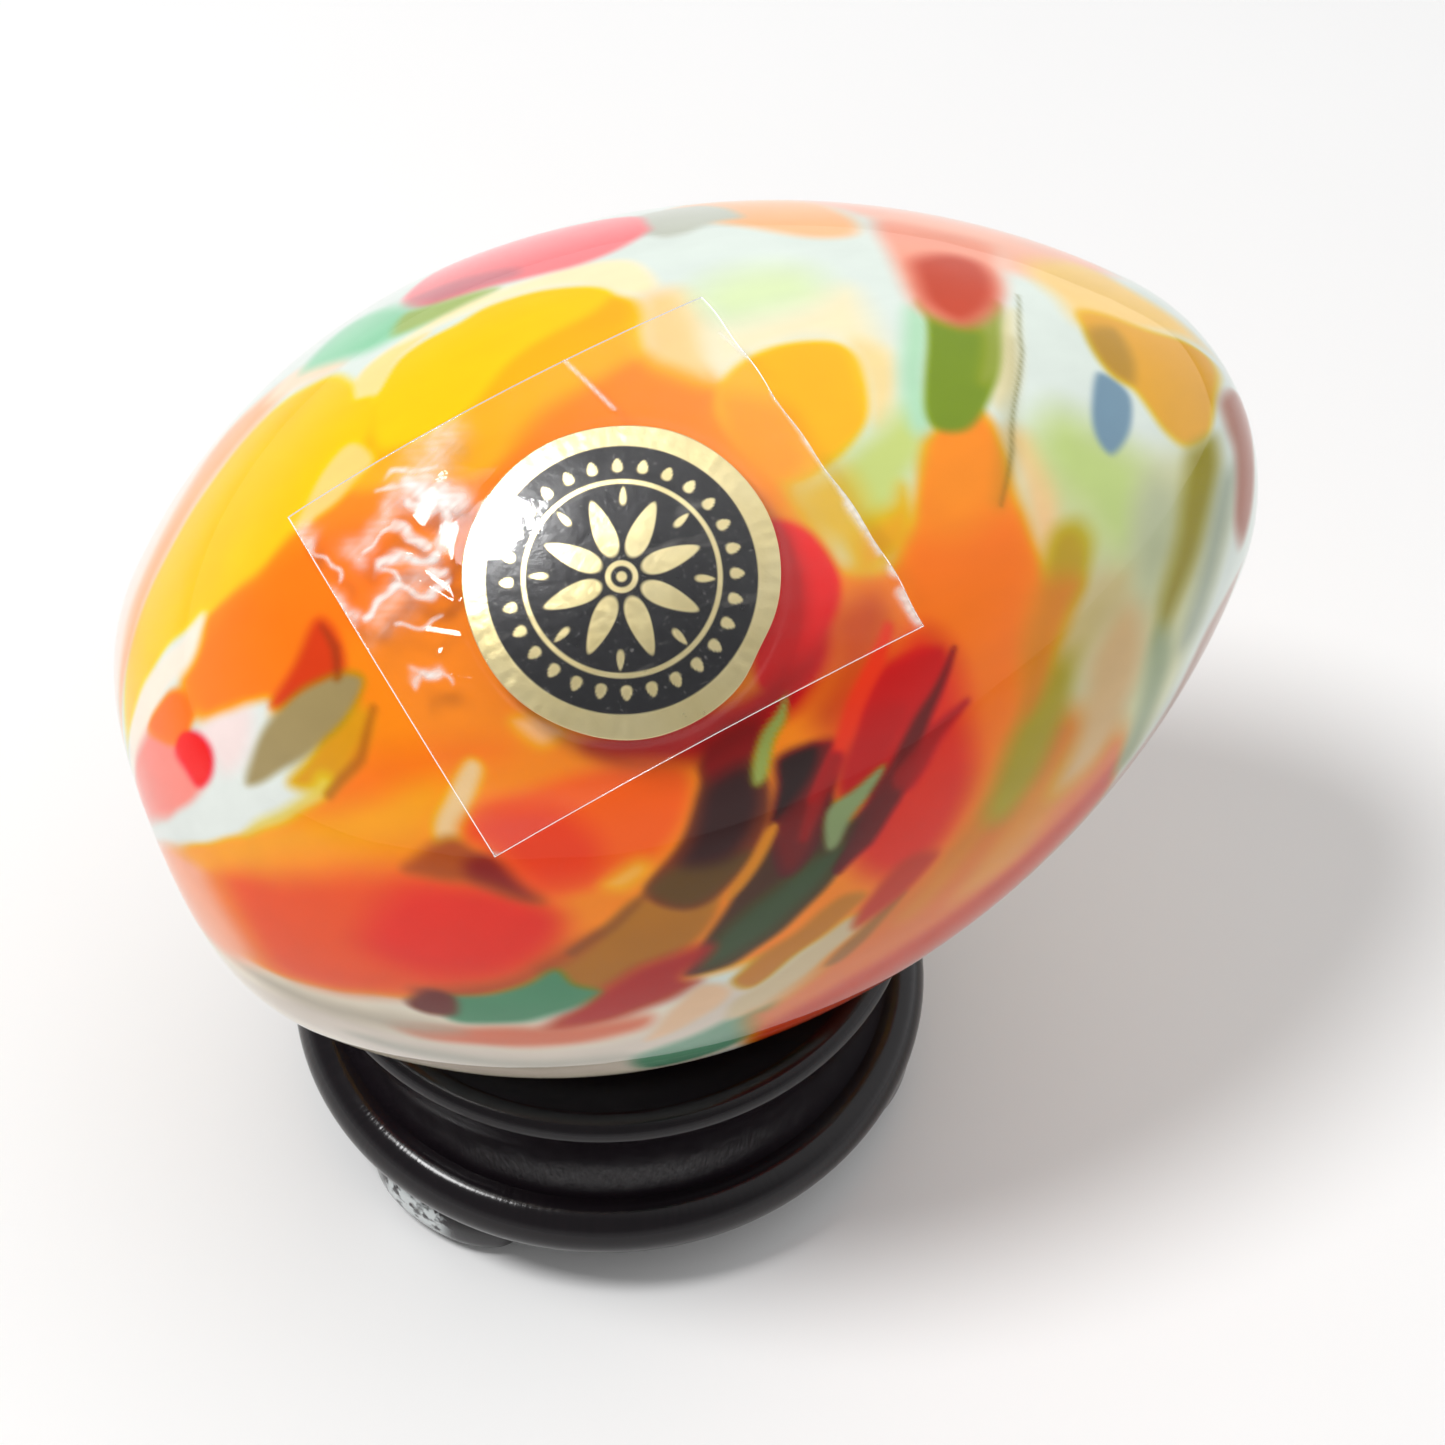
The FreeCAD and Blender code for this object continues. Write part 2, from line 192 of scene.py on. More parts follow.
# ---------------------------------------------------------------- chips of coloured glass
# Each chip: colour, opacity, edge softness in mm, outline of (station in mm, angle in degrees).
GROUND = "E1EBE3"
LAYER_STEP = 0.24
LAYER_COLUMNS = 680
CHIPS = (
    # right ground
    ("D6D8AA", 0.95, 2.2, ((23, -42), (27, -30), (32, -38), (37, -48), (38, -75), (33, -97), (27, -108),
     (21, -98), (21, -72))),
    # low ground
    ("EFE2CC", 0.95, 1.8, ((-31, -86), (-22, -85), (-10, -90), (-4, -92), (0, -100), (-4, -122),
     (-20, -128), (-33, -112))),
    # low right ground
    ("E4842A", 1, 1.6, ((8, -90), (14, -82), (20, -72), (25, -84), (26, -105), (15, -122), (0, -128),
     (0, -100))),
    # orange field
    ("FF9200", 1, 0.8, ((-24, -3), (-18, 2), (-10, 2), (-4, 3), (2, 3), (7, 1), (9, -3), (10, -8),
     (11, -20), (12, -30), (13, -38), (16, -40), (19, -30), (20, -24), (23.5, -21), (24.6, -25),
     (24.3, -35), (24.4, -45), (24.8, -52), (24, -60), (21.5, -72), (18, -82), (14, -88), (8, -91),
     (-2, -88), (-9, -88), (-14, -84), (-22, -84), (-28, -82), (-30, -60), (-29.5, -46), (-26, -43),
     (-21, -42), (-18, -39), (-19, -32), (-21, -24), (-24, -20), (-25.5, -12))),
    # red rim left
    ("FFAE8C", 1, 1.2, ((-31, -45), (-28.3, -46), (-27.5, -60), (-27, -80), (-31, -90))),
    # vermilion
    ("F4602A", 1, 1.6, ((-27.5, -54), (-24, -55), (-18, -57), (-14, -62), (-11, -68), (-12, -76),
     (-15, -81), (-22, -84), (-26.5, -83), (-27.5, -70))),
    # vermilion core
    ("EE4600", 1, 1.6, ((-18, -60), (-14, -61), (-10, -67), (-10, -73), (-13, -78), (-18, -78),
     (-21, -70))),
    # amber band
    ("FFAA00", 0.9, 1.6, ((-28, -43), (-20, -44), (-15, -42), (-13, -44), (-13.5, -50), (-16, -53),
     (-22, -51), (-27, -51))),
    # orange between
    ("FF7E00", 0.8, 1.4, ((-21, -41), (-16, -38), (-11, -41), (-9, -44), (-13, -44), (-18, -44))),
    # left yellow
    ("FFCE00", 1, 0.6, ((-10.3, 24.5), (-12, 27.5), (-15, 29.5), (-20, 27), (-25, 22.5), (-28, 16),
     (-29.5, 5), (-28.5, 0), (-26, 2.5), (-22.8, 0), (-19, -2), (-16, 0), (-12, 2), (-8, 4), (-8, 10),
     (-9, 17))),
    # left orange
    ("FF8600", 1, 1.1, ((-24.5, -7), (-22, -3.5), (-18, -3), (-15.5, -3), (-13, -4), (-11, -8),
     (-11.5, -16), (-15, -21), (-20, -23.5), (-24, -21), (-25, -14))),
    # left rim peach
    ("FFB684", 1, 1, ((-13.2, 36), (-14.5, 31), (-20, 28), (-25, 23), (-28, 16), (-29.8, 14), (-28, 28),
     (-24, 36), (-18, 42))),
    # painted reflection, a pale band along the upper left rim
    ("FFE6D6", 1, 1.4, ((-20, 40), (-22, 36), (-26, 31), (-29, 22), (-31, 30), (-25, 50), (-15, 55))),
    # cream back left
    ("FFE2C4", 1, 0.8, ((-14.5, 34), (-10.3, 26.5), (-9.6, 28), (-11, 34), (-13, 38))),
    # amber blob
    ("FFB600", 1, 0.7, ((-9, 9), (-6.4, 17.5), (-2.4, 19), (0.3, 20.5), (4.2, 18.3), (7.4, 12.5), (8, 8),
     (7.5, 5), (6.8, 0), (4, -2.5), (0, -6), (-5, -8), (-9, -4), (-12, 2))),
    # yellow blob
    ("FFD000", 1, 0.55, ((-9, 10), (-6.4, 18), (-2.4, 19.3), (0.3, 20.8), (4.2, 18.4), (6.6, 15), (5, 11),
     (0, 8), (-4, 2), (-9, 3))),
    # orange by blob
    ("FF9000", 1, 1.1, ((0, -3), (4, -1), (7, 0), (9, -3), (10.3, -7), (10.5, -11), (6, -13), (1, -12),
     (-3, -9))),
    # cream wedge
    ("FFE29A", 1, 0.4, ((-9.6, 15.5), (-8.8, 20.5), (-6.5, 22), (-4, 21), (-6.4, 18.6), (-8, 14.5))),
    # cream edge
    ("FFEFC4", 1, 0.6, ((-6, 22), (-2, 21.5), (0.3, 21.5), (4.5, 19.2), (7.6, 13.2), (9.3, 14), (9, 20),
     (7, 23), (3, 24), (-2, 24.5))),
    # left spot
    ("FFD884", 1, 0.45, ((-12.9, 6.5), (-11.1, 8.2), (-10.1, 6), (-9.9, 2.5), (-11.3, 1), (-13.2, -0.5),
     (-15.7, 0.5), (-14.6, 3))),
    # peach band
    ("FFD292", 1, 1.3, ((7.6, 8), (8.5, 12), (10.5, 11), (11, 5), (10.6, -2), (9.6, -6.5), (8, -3.5),
     (7, 0))),
    # pale green top
    ("DDEDBC", 1, 2.2, ((11, 9), (14, 13), (18, 12), (18.5, 4), (15, 2), (12, 2))),
    # cream mid
    ("F7EBC4", 1, 1.6, ((10.8, 1), (13, 1.5), (17, 3), (20, 6), (20.3, -2), (19.8, -8), (16, -3.5),
     (12, -5), (10.6, -7))),
    # yellow chip
    ("FFBC00", 1, 0.4, ((9.7, -9), (11.7, -5.2), (14.1, -3.5), (16.5, -4.1), (18.1, -5.8), (18.7, -9.6),
     (17.9, -16.7), (16.5, -21), (14.8, -23.6), (12.4, -24.5), (10.6, -21), (9.5, -14))),
    # orange in chip
    ("FFA000", 0.9, 1.2, ((9.8, -10), (12, -11), (13.5, -15), (13.5, -22), (11.5, -25), (9.5, -20))),
    # chip halo
    ("F8DC9A", 0.9, 0.9, ((18.7, -5), (20.4, -8), (20.2, -14), (18.4, -20), (17.7, -19), (18.3, -13))),
    # green below chip
    ("CCDA86", 1, 1.2, ((15, -24.2), (18, -20.5), (20.3, -18), (20.2, -25), (18.6, -29), (16.8, -33),
     (14.6, -36), (13.4, -30))),
    # gold below chip
    ("E6B63C", 0.9, 1.5, ((11.6, -25.5), (14.8, -25), (15.2, -32), (14, -37), (11.6, -32))),
    # gold left of mass
    ("F0A800", 0.9, 1, ((14.5, -34), (17, -32), (18, -30), (17.5, -36), (15, -40), (13.5, -39))),
    # red spot
    ("F01018", 1, 0.55, ((9, -28.5), (10.6, -29.5), (11.9, -33), (12.4, -38), (11.8, -42), (10.5, -45),
     (8.5, -47), (6, -48), (7, -40), (8, -33))),
    # red low
    ("BE2422", 1, 0.9, ((1.5, -49.5), (5, -49), (8.5, -47), (10.6, -45), (10, -49), (8, -52.5),
     (6, -53.5), (4, -54))),
    # brown under tape
    ("D05A0C", 0.9, 1.6, ((11, -43), (14, -42.5), (14.6, -47), (13, -52), (11, -57), (8.5, -58), (8, -54),
     (10, -49))),
    # red under label
    ("CE3A08", 0.95, 0.9, ((-4.6, -46.5), (-1, -47.5), (2, -48.5), (3, -51.5), (1.5, -54), (-1, -52.5),
     (-3.5, -50))),
    # orange mass top
    ("FF9600", 1, 1, ((20.5, -25), (23.4, -21.5), (24.3, -25), (24, -33), (21, -37), (19.4, -32))),
    # orange mass low
    ("FF8200", 1, 1.4, ((17, -38), (20, -40), (23.5, -40), (24, -48), (22, -58), (19.5, -70), (16.5, -76),
     (15, -66), (15.5, -54), (15.5, -45))),
    # deep vermilion
    ("E84800", 1, 1.5, ((9.5, -58), (12.5, -53), (15.5, -50), (17, -55), (17, -64), (16.5, -74),
     (14.5, -82), (11.5, -86.5), (9, -85), (7.5, -78), (8.5, -68))),
    # red wedge
    ("CC3204", 0.9, 0.6, ((10.6, -57), (13, -52.5), (16.6, -54.5), (15, -60), (13.5, -63), (11, -61))),
    # peach streak
    ("F6CE98", 1, 0.9, ((25.2, -27), (26.8, -29), (26.9, -40), (25.4, -50), (24.4, -53), (24.5, -45),
     (25, -36))),
    # mint strip
    ("B6E0BE", 1, 0.8, ((23, 1), (23.6, -3), (22.1, -13), (21.1, -22), (19.7, -21.5), (20.6, -12),
     (22, -3))),
    # cream strip
    ("E9DEB2", 0.9, 0.7, ((27.6, -4), (29.2, 0), (28.2, -11), (26.8, -19), (25.4, -22), (25.4, -17))),
    # olive chip
    ("80982A", 1, 0.4, ((23.9, 3), (23.5, -3), (22, -13.6), (21, -21.5), (22.6, -24.3), (24.3, -22.3),
     (26.1, -15.7), (27.7, -5.3), (28.2, 3))),
    # olive chip right
    ("A4AC5C", 0.8, 0.7, ((27, 0), (28.4, 1), (27.6, -7), (26, -15.5), (25, -16), (26.4, -8))),
    # salmon top
    ("F9A68E", 1, 0.9, ((24.3, 32), (23.5, 18.3), (23.4, 7.7), (23.6, 0), (25.6, -4.2), (27.6, -1.5),
     (29, 5), (29.9, 15), (31, 24), (31.5, 34), (27, 40))),
    # red brown chip
    ("CA5542", 1, 0.9, ((24.7, 14), (24.2, 8), (24.2, 1), (25.6, -3.6), (27.4, -1), (28.6, 5), (28.7, 14),
     (27, 17))),
    # rim pink right
    ("FFC0A8", 1, 1.1, ((30, 14), (32.5, 14), (34.5, 19), (36.5, 28), (36, 45), (20, 48), (22.5, 36),
     (24.3, 31), (30, 26))),
    # peach top
    ("FFC28E", 1, 0.8, ((15, 29), (18.6, 22.4), (21.4, 21.4), (22.6, 25), (22.4, 33), (20, 45), (14, 45),
     (12.5, 36))),
    # grey top
    ("C8CCBE", 1, 0.6, ((9.6, 38), (10.6, 28), (12.2, 26.6), (14.5, 30), (16.4, 32), (14.5, 42))),
    # pink chip
    ("FF8A8E", 1, 0.5, ((-4.3, 39), (-4.7, 33), (-3.6, 28.6), (-1.5, 26.8), (1, 26), (5, 23.9), (8, 25.2),
     (10.1, 29), (10.7, 33), (9.4, 42), (0, 48))),
    # pink chip shade
    ("CC8890", 0.85, 0.9, ((-4.4, 35), (-3.5, 29), (-1.5, 27.4), (2, 26.6), (2, 30), (-1, 33))),
    # teal top
    ("96D6AE", 1, 0.9, ((-12, 35), (-9.9, 29), (-8, 25.4), (-5.5, 24), (-3.5, 25), (-4.2, 29), (-4.8, 33),
     (-6.5, 39), (-9, 41))),
    # green top
    ("A9BE72", 1, 0.6, ((-6, 25), (-3, 23.6), (0.5, 24.8), (-1, 26.6), (-3.5, 28.5), (-5, 30))),
    # cream wedge left
    ("FFF0DE", 1, 0.55, ((-22.7, 0.6), (-24.8, 0), (-28, 2.5), (-30, -1), (-30, -8), (-28.2, -8.5),
     (-26.5, -5.5), (-24.6, -6.5), (-23.4, -4))),
    # pink halo
    ("FF9488", 1, 0.7, ((-30.3, -10), (-28.4, -8.5), (-27, -13), (-26, -20), (-26, -31), (-28.6, -35),
     (-30.5, -27))),
    # opal left
    ("E7ECE6", 1, 0.5, ((-25.4, -20.5), (-22.2, -21.5), (-20.4, -23.5), (-22.4, -29), (-23.6, -34.6),
     (-20.4, -36.6), (-19.2, -40), (-21, -42.3), (-24, -44), (-28, -43.5), (-30.4, -38), (-28.6, -34.5),
     (-26, -31.4), (-25, -26))),
    # pink white
    ("FBE4E0", 0.9, 0.8, ((-25.4, -20), (-22.5, -21), (-22, -24), (-23.5, -30), (-25, -30))),
    # orange left tip
    ("FF7E14", 1, 0.35, ((-28.2, -8), (-26.5, -6.6), (-25.3, -10), (-25.2, -16), (-26.8, -19.5),
     (-27.8, -14))),
    # bright red
    ("FA0018", 1, 0.4, ((-27.2, -20.5), (-26.6, -18.4), (-25.6, -20), (-25.2, -25), (-25.7, -29.5),
     (-26.6, -30.8), (-27, -26))),
    # amber tail
    ("E2A000", 1, 0.7, ((-16.6, -30), (-15.3, -33), (-17.6, -38.5), (-19.4, -41), (-21.3, -38),
     (-20, -35))),
    # yellow edge
    ("E8D060", 0.9, 0.6, ((-19.6, -38), (-19, -40.5), (-21.5, -43.4), (-25, -44.6), (-24, -42.6),
     (-21, -41))),
    # red facet
    ("DC5208", 1, 0.5, ((-16.4, -15.5), (-15.6, -19), (-16, -25), (-18, -25.5), (-20.6, -24),
     (-18.5, -20))),
    # grey olive chip
    ("A8966C", 1, 0.45, ((-16.2, -24.6), (-15, -27), (-15.8, -30), (-18, -33), (-20.5, -34.6),
     (-23.7, -34.9), (-22.6, -29), (-20.4, -25.2), (-18, -24))),
    # opal streak
    ("F2CC96", 1, 0.45, ((-11.2, -43.6), (-10.6, -45.5), (-12, -50), (-13.3, -54.5), (-14.6, -55.5),
     (-14.3, -51), (-13, -47))),
    # brown streak
    ("B65E10", 1, 0.6, ((-17, -56.8), (-15.2, -54), (-13.5, -53.5), (-12.5, -56.4), (-11.3, -58),
     (-10, -62), (-10.2, -66.5), (-12, -65), (-13.6, -61.2), (-15.6, -59))),
    # brown dark
    ("8E3C08", 0.9, 0.7, ((-13.4, -57.5), (-12, -57.5), (-10.3, -62), (-10.8, -65.5), (-12.4, -63),
     (-13.6, -60))),
    # orange ball
    ("FF6E00", 1, 0.8, ((-13, -53), (-11.4, -50), (-8, -50), (-3, -51), (0, -54), (-0.4, -59),
     (-2.6, -64), (-6, -66.5), (-10.3, -65), (-11.6, -58))),
    # orange ball red
    ("F05000", 0.9, 1.2, ((-12.4, -53), (-10.4, -51.5), (-7.5, -54), (-6, -60), (-7, -64.5), (-10, -64),
     (-11.5, -57))),
    # cream dab
    ("FFC46C", 0.9, 0.9, ((-6.6, -66.3), (-4.4, -64.5), (-3.9, -66.7), (-5.6, -68.2))),
    # cream by label
    ("FFC694", 0.9, 0.7, ((-8, -40.8), (-6.4, -41.2), (-5.5, -44), (-7, -45))),
    # mustard
    ("BA7C04", 1, 0.6, ((-12, -79.4), (-10, -77), (-7.7, -74), (-5, -70.4), (-2.7, -73), (-0.6, -74),
     (-1.9, -79), (-4.1, -81.8), (-6.4, -82.5), (-9, -85.3), (-10.8, -84))),
    # shade above teal
    ("B4552E", 0.9, 0.9, ((-19, -81.5), (-14, -80), (-11, -76.5), (-8, -74.3), (-11, -79), (-15, -83),
     (-18.5, -83))),
    # dark chip
    ("8A4C1C", 1, 0.35, ((1.2, -54.3), (0.5, -58), (-1.6, -64), (-4.5, -69.6), (-2.8, -74), (-0.6, -74),
     (1.9, -70), (3.4, -66.5), (4.4, -61), (3.9, -58), (4.7, -54), (3.6, -52.5))),
    # dark chip top
    ("983820", 1, 0.9, ((1.4, -53), (3, -51.5), (5.2, -52.4), (4.2, -56), (1.6, -58.5))),
    # dark chip low
    ("6E5614", 1, 0.6, ((-4.3, -69.6), (-2.8, -73.7), (-0.6, -73.7), (1.9, -69.6), (0, -68),
     (-2.5, -67.5))),
    # dark chip core
    ("4C3C1A", 1, 0.9, ((1, -58), (-0.8, -63.5), (-2, -67.5), (0.5, -69), (2.6, -66), (3.8, -62),
     (3.5, -57.5))),
    # green streak
    ("9EAC62", 1, 0.3, ((7.2, -50.5), (6.2, -52.3), (4.8, -54.4), (3.8, -58), (3.6, -60.4), (4.4, -60),
     (5.4, -56), (6.6, -53.6))),
    # dark body
    ("5C4634", 1, 0.35, ((3.2, -67.8), (5, -66), (7.2, -59.4), (8.7, -60.5), (7.6, -67), (8, -71.5),
     (9.8, -70.5), (10.3, -71), (7.9, -76.4), (5.4, -80.4), (3, -83.7), (0, -86.5), (-2, -87.5),
     (-4.2, -86.4), (-1.5, -79.3), (0.6, -74.5))),
    # dark body green
    ("52604A", 1, 0.8, ((2.6, -77), (5, -75), (7.4, -75.5), (4.8, -80), (1.7, -83.8), (-1.5, -86.3),
     (-3, -85.6), (-0.6, -80))),
    # maroon upper
    ("7C2418", 1, 0.6, ((7.4, -58.5), (9, -60.5), (7.2, -68), (5, -74), (3.3, -75), (3.6, -68.5),
     (5.4, -64))),
    # dark patch
    ("46220F", 1, 0.5, ((5.3, -58.3), (7.6, -58.4), (7, -62), (4.8, -66), (3.5, -67), (4.7, -62))),
    # red brown gap
    ("C43C12", 1, 0.6, ((11.6, -57.5), (13.6, -60), (11.4, -66), (9.5, -68.5), (8, -69.5), (8.2, -65),
     (9.6, -60.5))),
    # light green
    ("90A274", 1, 0.3, ((6.3, -74.3), (6.7, -70), (7.4, -68.2), (9, -67.6), (11, -66.2), (10.2, -69),
     (8.2, -71.6), (7, -74.5))),
    # mustard line
    ("E0900E", 1, 0.25, ((3.9, -66.6), (3, -67.6), (1.7, -70.4), (0.1, -74), (-0.3, -75.5), (0.8, -74.7),
     (2.4, -71.4), (3.9, -68))),
    # red under dark
    ("B8402C", 1, 0.8, ((-7, -82.5), (-3.5, -81.5), (-2, -83), (-4.2, -86.8), (-3.6, -89.5),
     (-7.5, -92.5), (-11.5, -94.5), (-13, -93), (-10, -87))),
    # salmon low
    ("DE7A5C", 1, 0.9, ((-21, -93.5), (-15, -92.5), (-11.5, -93.5), (-7, -94), (-8, -98), (-14, -99.5),
     (-20, -98.5))),
    # teal low
    ("5E9674", 1, 0.5, ((-17.6, -83.4), (-15, -83), (-13, -81.5), (-11, -79.5), (-10.3, -83), (-9, -85.6),
     (-11, -88.5), (-14, -91), (-17.4, -91), (-18.3, -88))),
    # maroon head
    ("774032", 1, 0.45, ((-19.8, -84.5), (-18.5, -81.8), (-17.2, -83.2), (-17.6, -88), (-18.9, -88.6),
     (-19.9, -87))),
    # opal low
    ("DACDBE", 1, 1.2, ((-27, -95), (-21, -98.5), (-14, -100.5), (-8, -99.5), (-5.5, -95), (-3.5, -91),
     (-1.2, -93.5), (1, -98), (4, -98), (2, -104), (-4, -112), (-12, -116), (-20, -116), (-28, -108))),
    # grey low
    ("B6AA96", 0.8, 1.2, ((-24, -90), (-19, -91.5), (-18, -94.5), (-22, -97), (-27, -94), (-28, -88))),
    # grey low 2
    ("A9A595", 0.8, 1.1, ((-23, -103), (-16, -105), (-9, -106), (-10, -109), (-18, -110), (-24, -107))),
    # teal under
    ("6C9A7E", 1, 0.8, ((-8.6, -108), (-5, -104), (-2, -101.5), (0.4, -102), (-0.5, -110), (-4, -117),
     (-8, -118))),
    # ochre chip
    ("C98404", 1, 0.5, ((-1.7, -91.3), (0, -88.4), (3, -86.2), (6, -83.6), (7.5, -86), (5, -89.3),
     (2, -92), (-0.6, -94.8))),
    # cream low
    ("E9C39E", 1, 0.5, ((-5.8, -95), (-3.9, -90.4), (-2.5, -91), (-2, -94), (-4, -98), (-7.5, -102))),
    # opal streak low
    ("D3C09C", 1, 0.5, ((6, -88.8), (3.5, -91), (0, -94.7), (-2.2, -97), (-2.5, -102), (0, -101.5),
     (2.4, -98.5), (5, -94.6), (7.6, -90.4))),
    # low orange
    ("E0781A", 1, 1.4, ((-1.5, -106), (0, -102.5), (3, -99), (7, -94.6), (10, -91), (13, -88.5),
     (16, -84), (18, -87), (22, -90), (25, -94), (26, -104), (22, -118), (12, -130), (0, -130))),
    # low amber
    ("E09214", 1, 1.6, ((13, -100), (16, -92), (18.5, -87.6), (21, -85.5), (23, -88), (21, -97),
     (17, -103))),
    # low peach
    ("E08E34", 0.9, 1.2, ((9, -95), (12, -90), (15, -84.5), (16.6, -83), (17, -87), (14, -92.5),
     (10.5, -97))),
    # low red rim
    ("D2500E", 0.9, 1.1, ((-1, -112), (4, -106), (10, -104.5), (17, -104.5), (22, -103), (26, -104),
     (22, -122), (10, -132), (0, -126))),
    # brown low
    ("A0703C", 0.9, 0.4, ((4.2, -97), (7.4, -92), (10, -89.8), (8.4, -93), (5.4, -98))),
    # red low right
    ("C84C22", 1, 0.6, ((8.6, -85.4), (11, -83.5), (12.6, -86.5), (10, -90), (6.6, -92), (6.8, -89))),
    # olive right
    ("B4A440", 1, 1.2, ((16.2, -84), (18.3, -77), (20.6, -71), (23, -66), (25.5, -63), (27, -64),
     (24.6, -71), (22.6, -78), (20.6, -84), (18, -88.4), (16.6, -88))),
    # peach right
    ("DCBA88", 1, 1.6, ((25.6, -71), (28, -66), (29.6, -70), (29.2, -80), (26.5, -91), (23.5, -96),
     (21, -92), (23.4, -83), (24.6, -76))),
    # sand right
    ("D4C28E", 0.9, 1.3, ((23.4, -64.5), (25.6, -57.5), (28, -57), (30, -62), (28, -68), (25, -69))),
    # gold top chip
    ("C2A21C", 1, 1, ((25.8, -46.6), (27.5, -46.6), (28.1, -51), (26.4, -57), (24.6, -58), (24.3, -52))),
    # gold low chip
    ("E08C04", 1, 1.2, ((24.2, -53), (26.2, -56), (25.2, -60), (22.4, -68.6), (20.4, -72), (20.8, -66),
     (22.4, -58))),
    # pale green right
    ("C6DA8C", 1, 2, ((26.8, -30), (29, -25), (31, -31), (33, -42), (31.6, -52), (30, -57), (28.6, -52),
     (28, -45), (27.2, -40))),
    # grey green right
    ("BEC6A2", 0.9, 1.6, ((31.6, -50), (33.5, -46), (34.6, -55), (32.8, -66), (30.6, -69), (30.4, -60))),
    # blue chip
    ("7E9CB0", 1, 0.35, ((32.8, -17.3), (33.7, -20.5), (34, -26), (32.9, -34), (31.4, -37.2), (30.8, -33),
     (31, -27), (32, -20))),
    # amber pale
    ("FBD488", 1, 1.1, ((31.5, 15), (32.4, 6), (33, -3), (36, -2), (40.3, 4), (40, 16), (36, 30),
     (33, 24))),
    # amber chip
    ("E8AA00", 1, 0.5, ((33.2, 1), (33, -6), (33.5, -17), (34.6, -23.6), (35.4, -36), (36.8, -43.8),
     (38.8, -42.5), (40.2, -27), (40.8, -12), (40.4, -2), (37.8, -1), (35, 2))),
    # amber shade
    ("B88E04", 0.9, 0.6, ((33.1, -6), (35, -3), (35.4, -14), (34.7, -21), (33.4, -16))),
    # olive streak right
    ("A09640", 1, 1.1, ((36.6, -45), (38.8, -46), (38.2, -58), (36, -69), (33, -78), (30.4, -83),
     (31.4, -73), (34, -62), (35.6, -52))),
    # grey streak right
    ("A8B4A2", 0.9, 1.3, ((38.4, -60), (39.4, -66), (36.5, -84), (33.5, -96), (32, -92), (34.5, -80),
     (36.4, -70))),
    # teal right
    ("A0AE8A", 1, 1.1, ((29.4, -83), (30.8, -79), (31.4, -88), (29.6, -100), (27, -110), (25.6, -106),
     (28, -95))),
    # nose rim
    ("B27868", 1, 0.6, ((40.3, -32), (41.6, -25), (42.2, -50), (41.4, -80), (39, -97), (38.4, -82),
     (39.9, -60), (40.1, -45))),
    # painted shadow along the lower right rim
    ("B08070", 0.8, 0.9, ((34.5, -104), (30, -112), (24, -114), (18, -118), (18, -128), (30, -126),
     (38, -112))),
)
# Thin threads: the points also carry a half width in mm.
THREADS = (
    # dark thread glow
    ("9A8A48", 0.35, 0.8, ((28.2, -8, 0.1), (26.5, -20, 0.3), (24.8, -30, 0.6), (23.2, -37, 0.3))),
    # dark thread
    ("5E5A28", 0.62, 0.24, ((29.9, 5, 0.01), (29.6, 1, 0.03), (28.4, -11, 0.05), (26.9, -19.5, 0.06),
     (25.1, -30, 0.08), (23.2, -38, 0.02))),
    # red thread
    ("F04E04", 1, 0.3, ((14, -48, 0.3), (12.7, -51.5, 0.55), (10.6, -56.2, 0.6), (8.4, -61.8, 0.5),
     (6.6, -66, 0.35))),
    # red thread low
    ("A42C1C", 0.9, 0.35, ((8.4, -61.8, 0.5), (6.6, -66.5, 0.5), (5.2, -71, 0.3))),
    # maroon band
    ("6E1C14", 0.95, 0.35, ((17.3, -55.5, 0.1), (15.3, -60.5, 0.35), (12.8, -66, 0.75), (10.6, -71, 1),
     (8.6, -75.5, 0.7), (6.5, -78.5, 0.3))),
    # maroon side
    ("A8240C", 0.9, 0.4, ((17, -63.7, 0.15), (14.6, -66, 0.5), (12, -69.6, 0.8))),
    # brown thread
    ("A05020", 0.7, 0.3, ((-16.2, -17, 0.1), (-16, -21, 0.25), (-16.4, -25, 0.2))),
    # amber thread
    ("B06A10", 0.7, 0.3, ((-15, -32, 0.2), (-17, -38, 0.3), (-19.4, -41.6, 0.3))),
    # mustard thread
    ("8A5A10", 0.7, 0.35, ((-4.4, -70, 0.2), (-7, -73.4, 0.35), (-9.8, -76.6, 0.3))),
)


def colour_of(code):
    """A six-letter colour code as three numbers from 0 to 1."""
    return np.array([int(code[i:i + 2], 16) / 255 for i in (0, 2, 4)])


def rounded(points, steps=6):
    """A closed Catmull-Rom curve through the points."""
    p = np.array(points, float)
    a, b, c, d = np.roll(p, 1, 0), p, np.roll(p, -1, 0), np.roll(p, -2, 0)
    t = (np.arange(steps) / steps)[None, :, None]
    a, b, c, d = a[:, None], b[:, None], c[:, None], d[:, None]
    curve = 2 * b + (c - a) * t + (2 * a - 5 * b + 4 * c - d) * t ** 2
    curve = (curve + (3 * b - a - 3 * c + d) * t ** 3) / 2
    return curve.reshape(-1, 2)


def depth_inside(x, y, outline):
    """Distance from each point to a closed outline, positive inside it."""
    inside = np.zeros(x.shape, bool)
    nearest = np.full(x.shape, 1e9)
    for (ax, ay), (bx, by) in zip(outline, np.roll(outline, -1, 0)):
        run, rise = bx - ax, by - ay
        t = ((x - ax) * run + (y - ay) * rise) / (run * run + rise * rise + 1e-12)
        t = np.clip(t, 0, 1)
        gap = (x - ax - t * run) ** 2 + (y - ay - t * rise) ** 2
        nearest = np.minimum(nearest, gap)
        if by != ay:
            inside ^= ((ay > y) != (by > y)) & (x < run * (y - ay) / rise + ax)
    nearest = np.sqrt(nearest)
    return np.where(inside, nearest, -nearest)


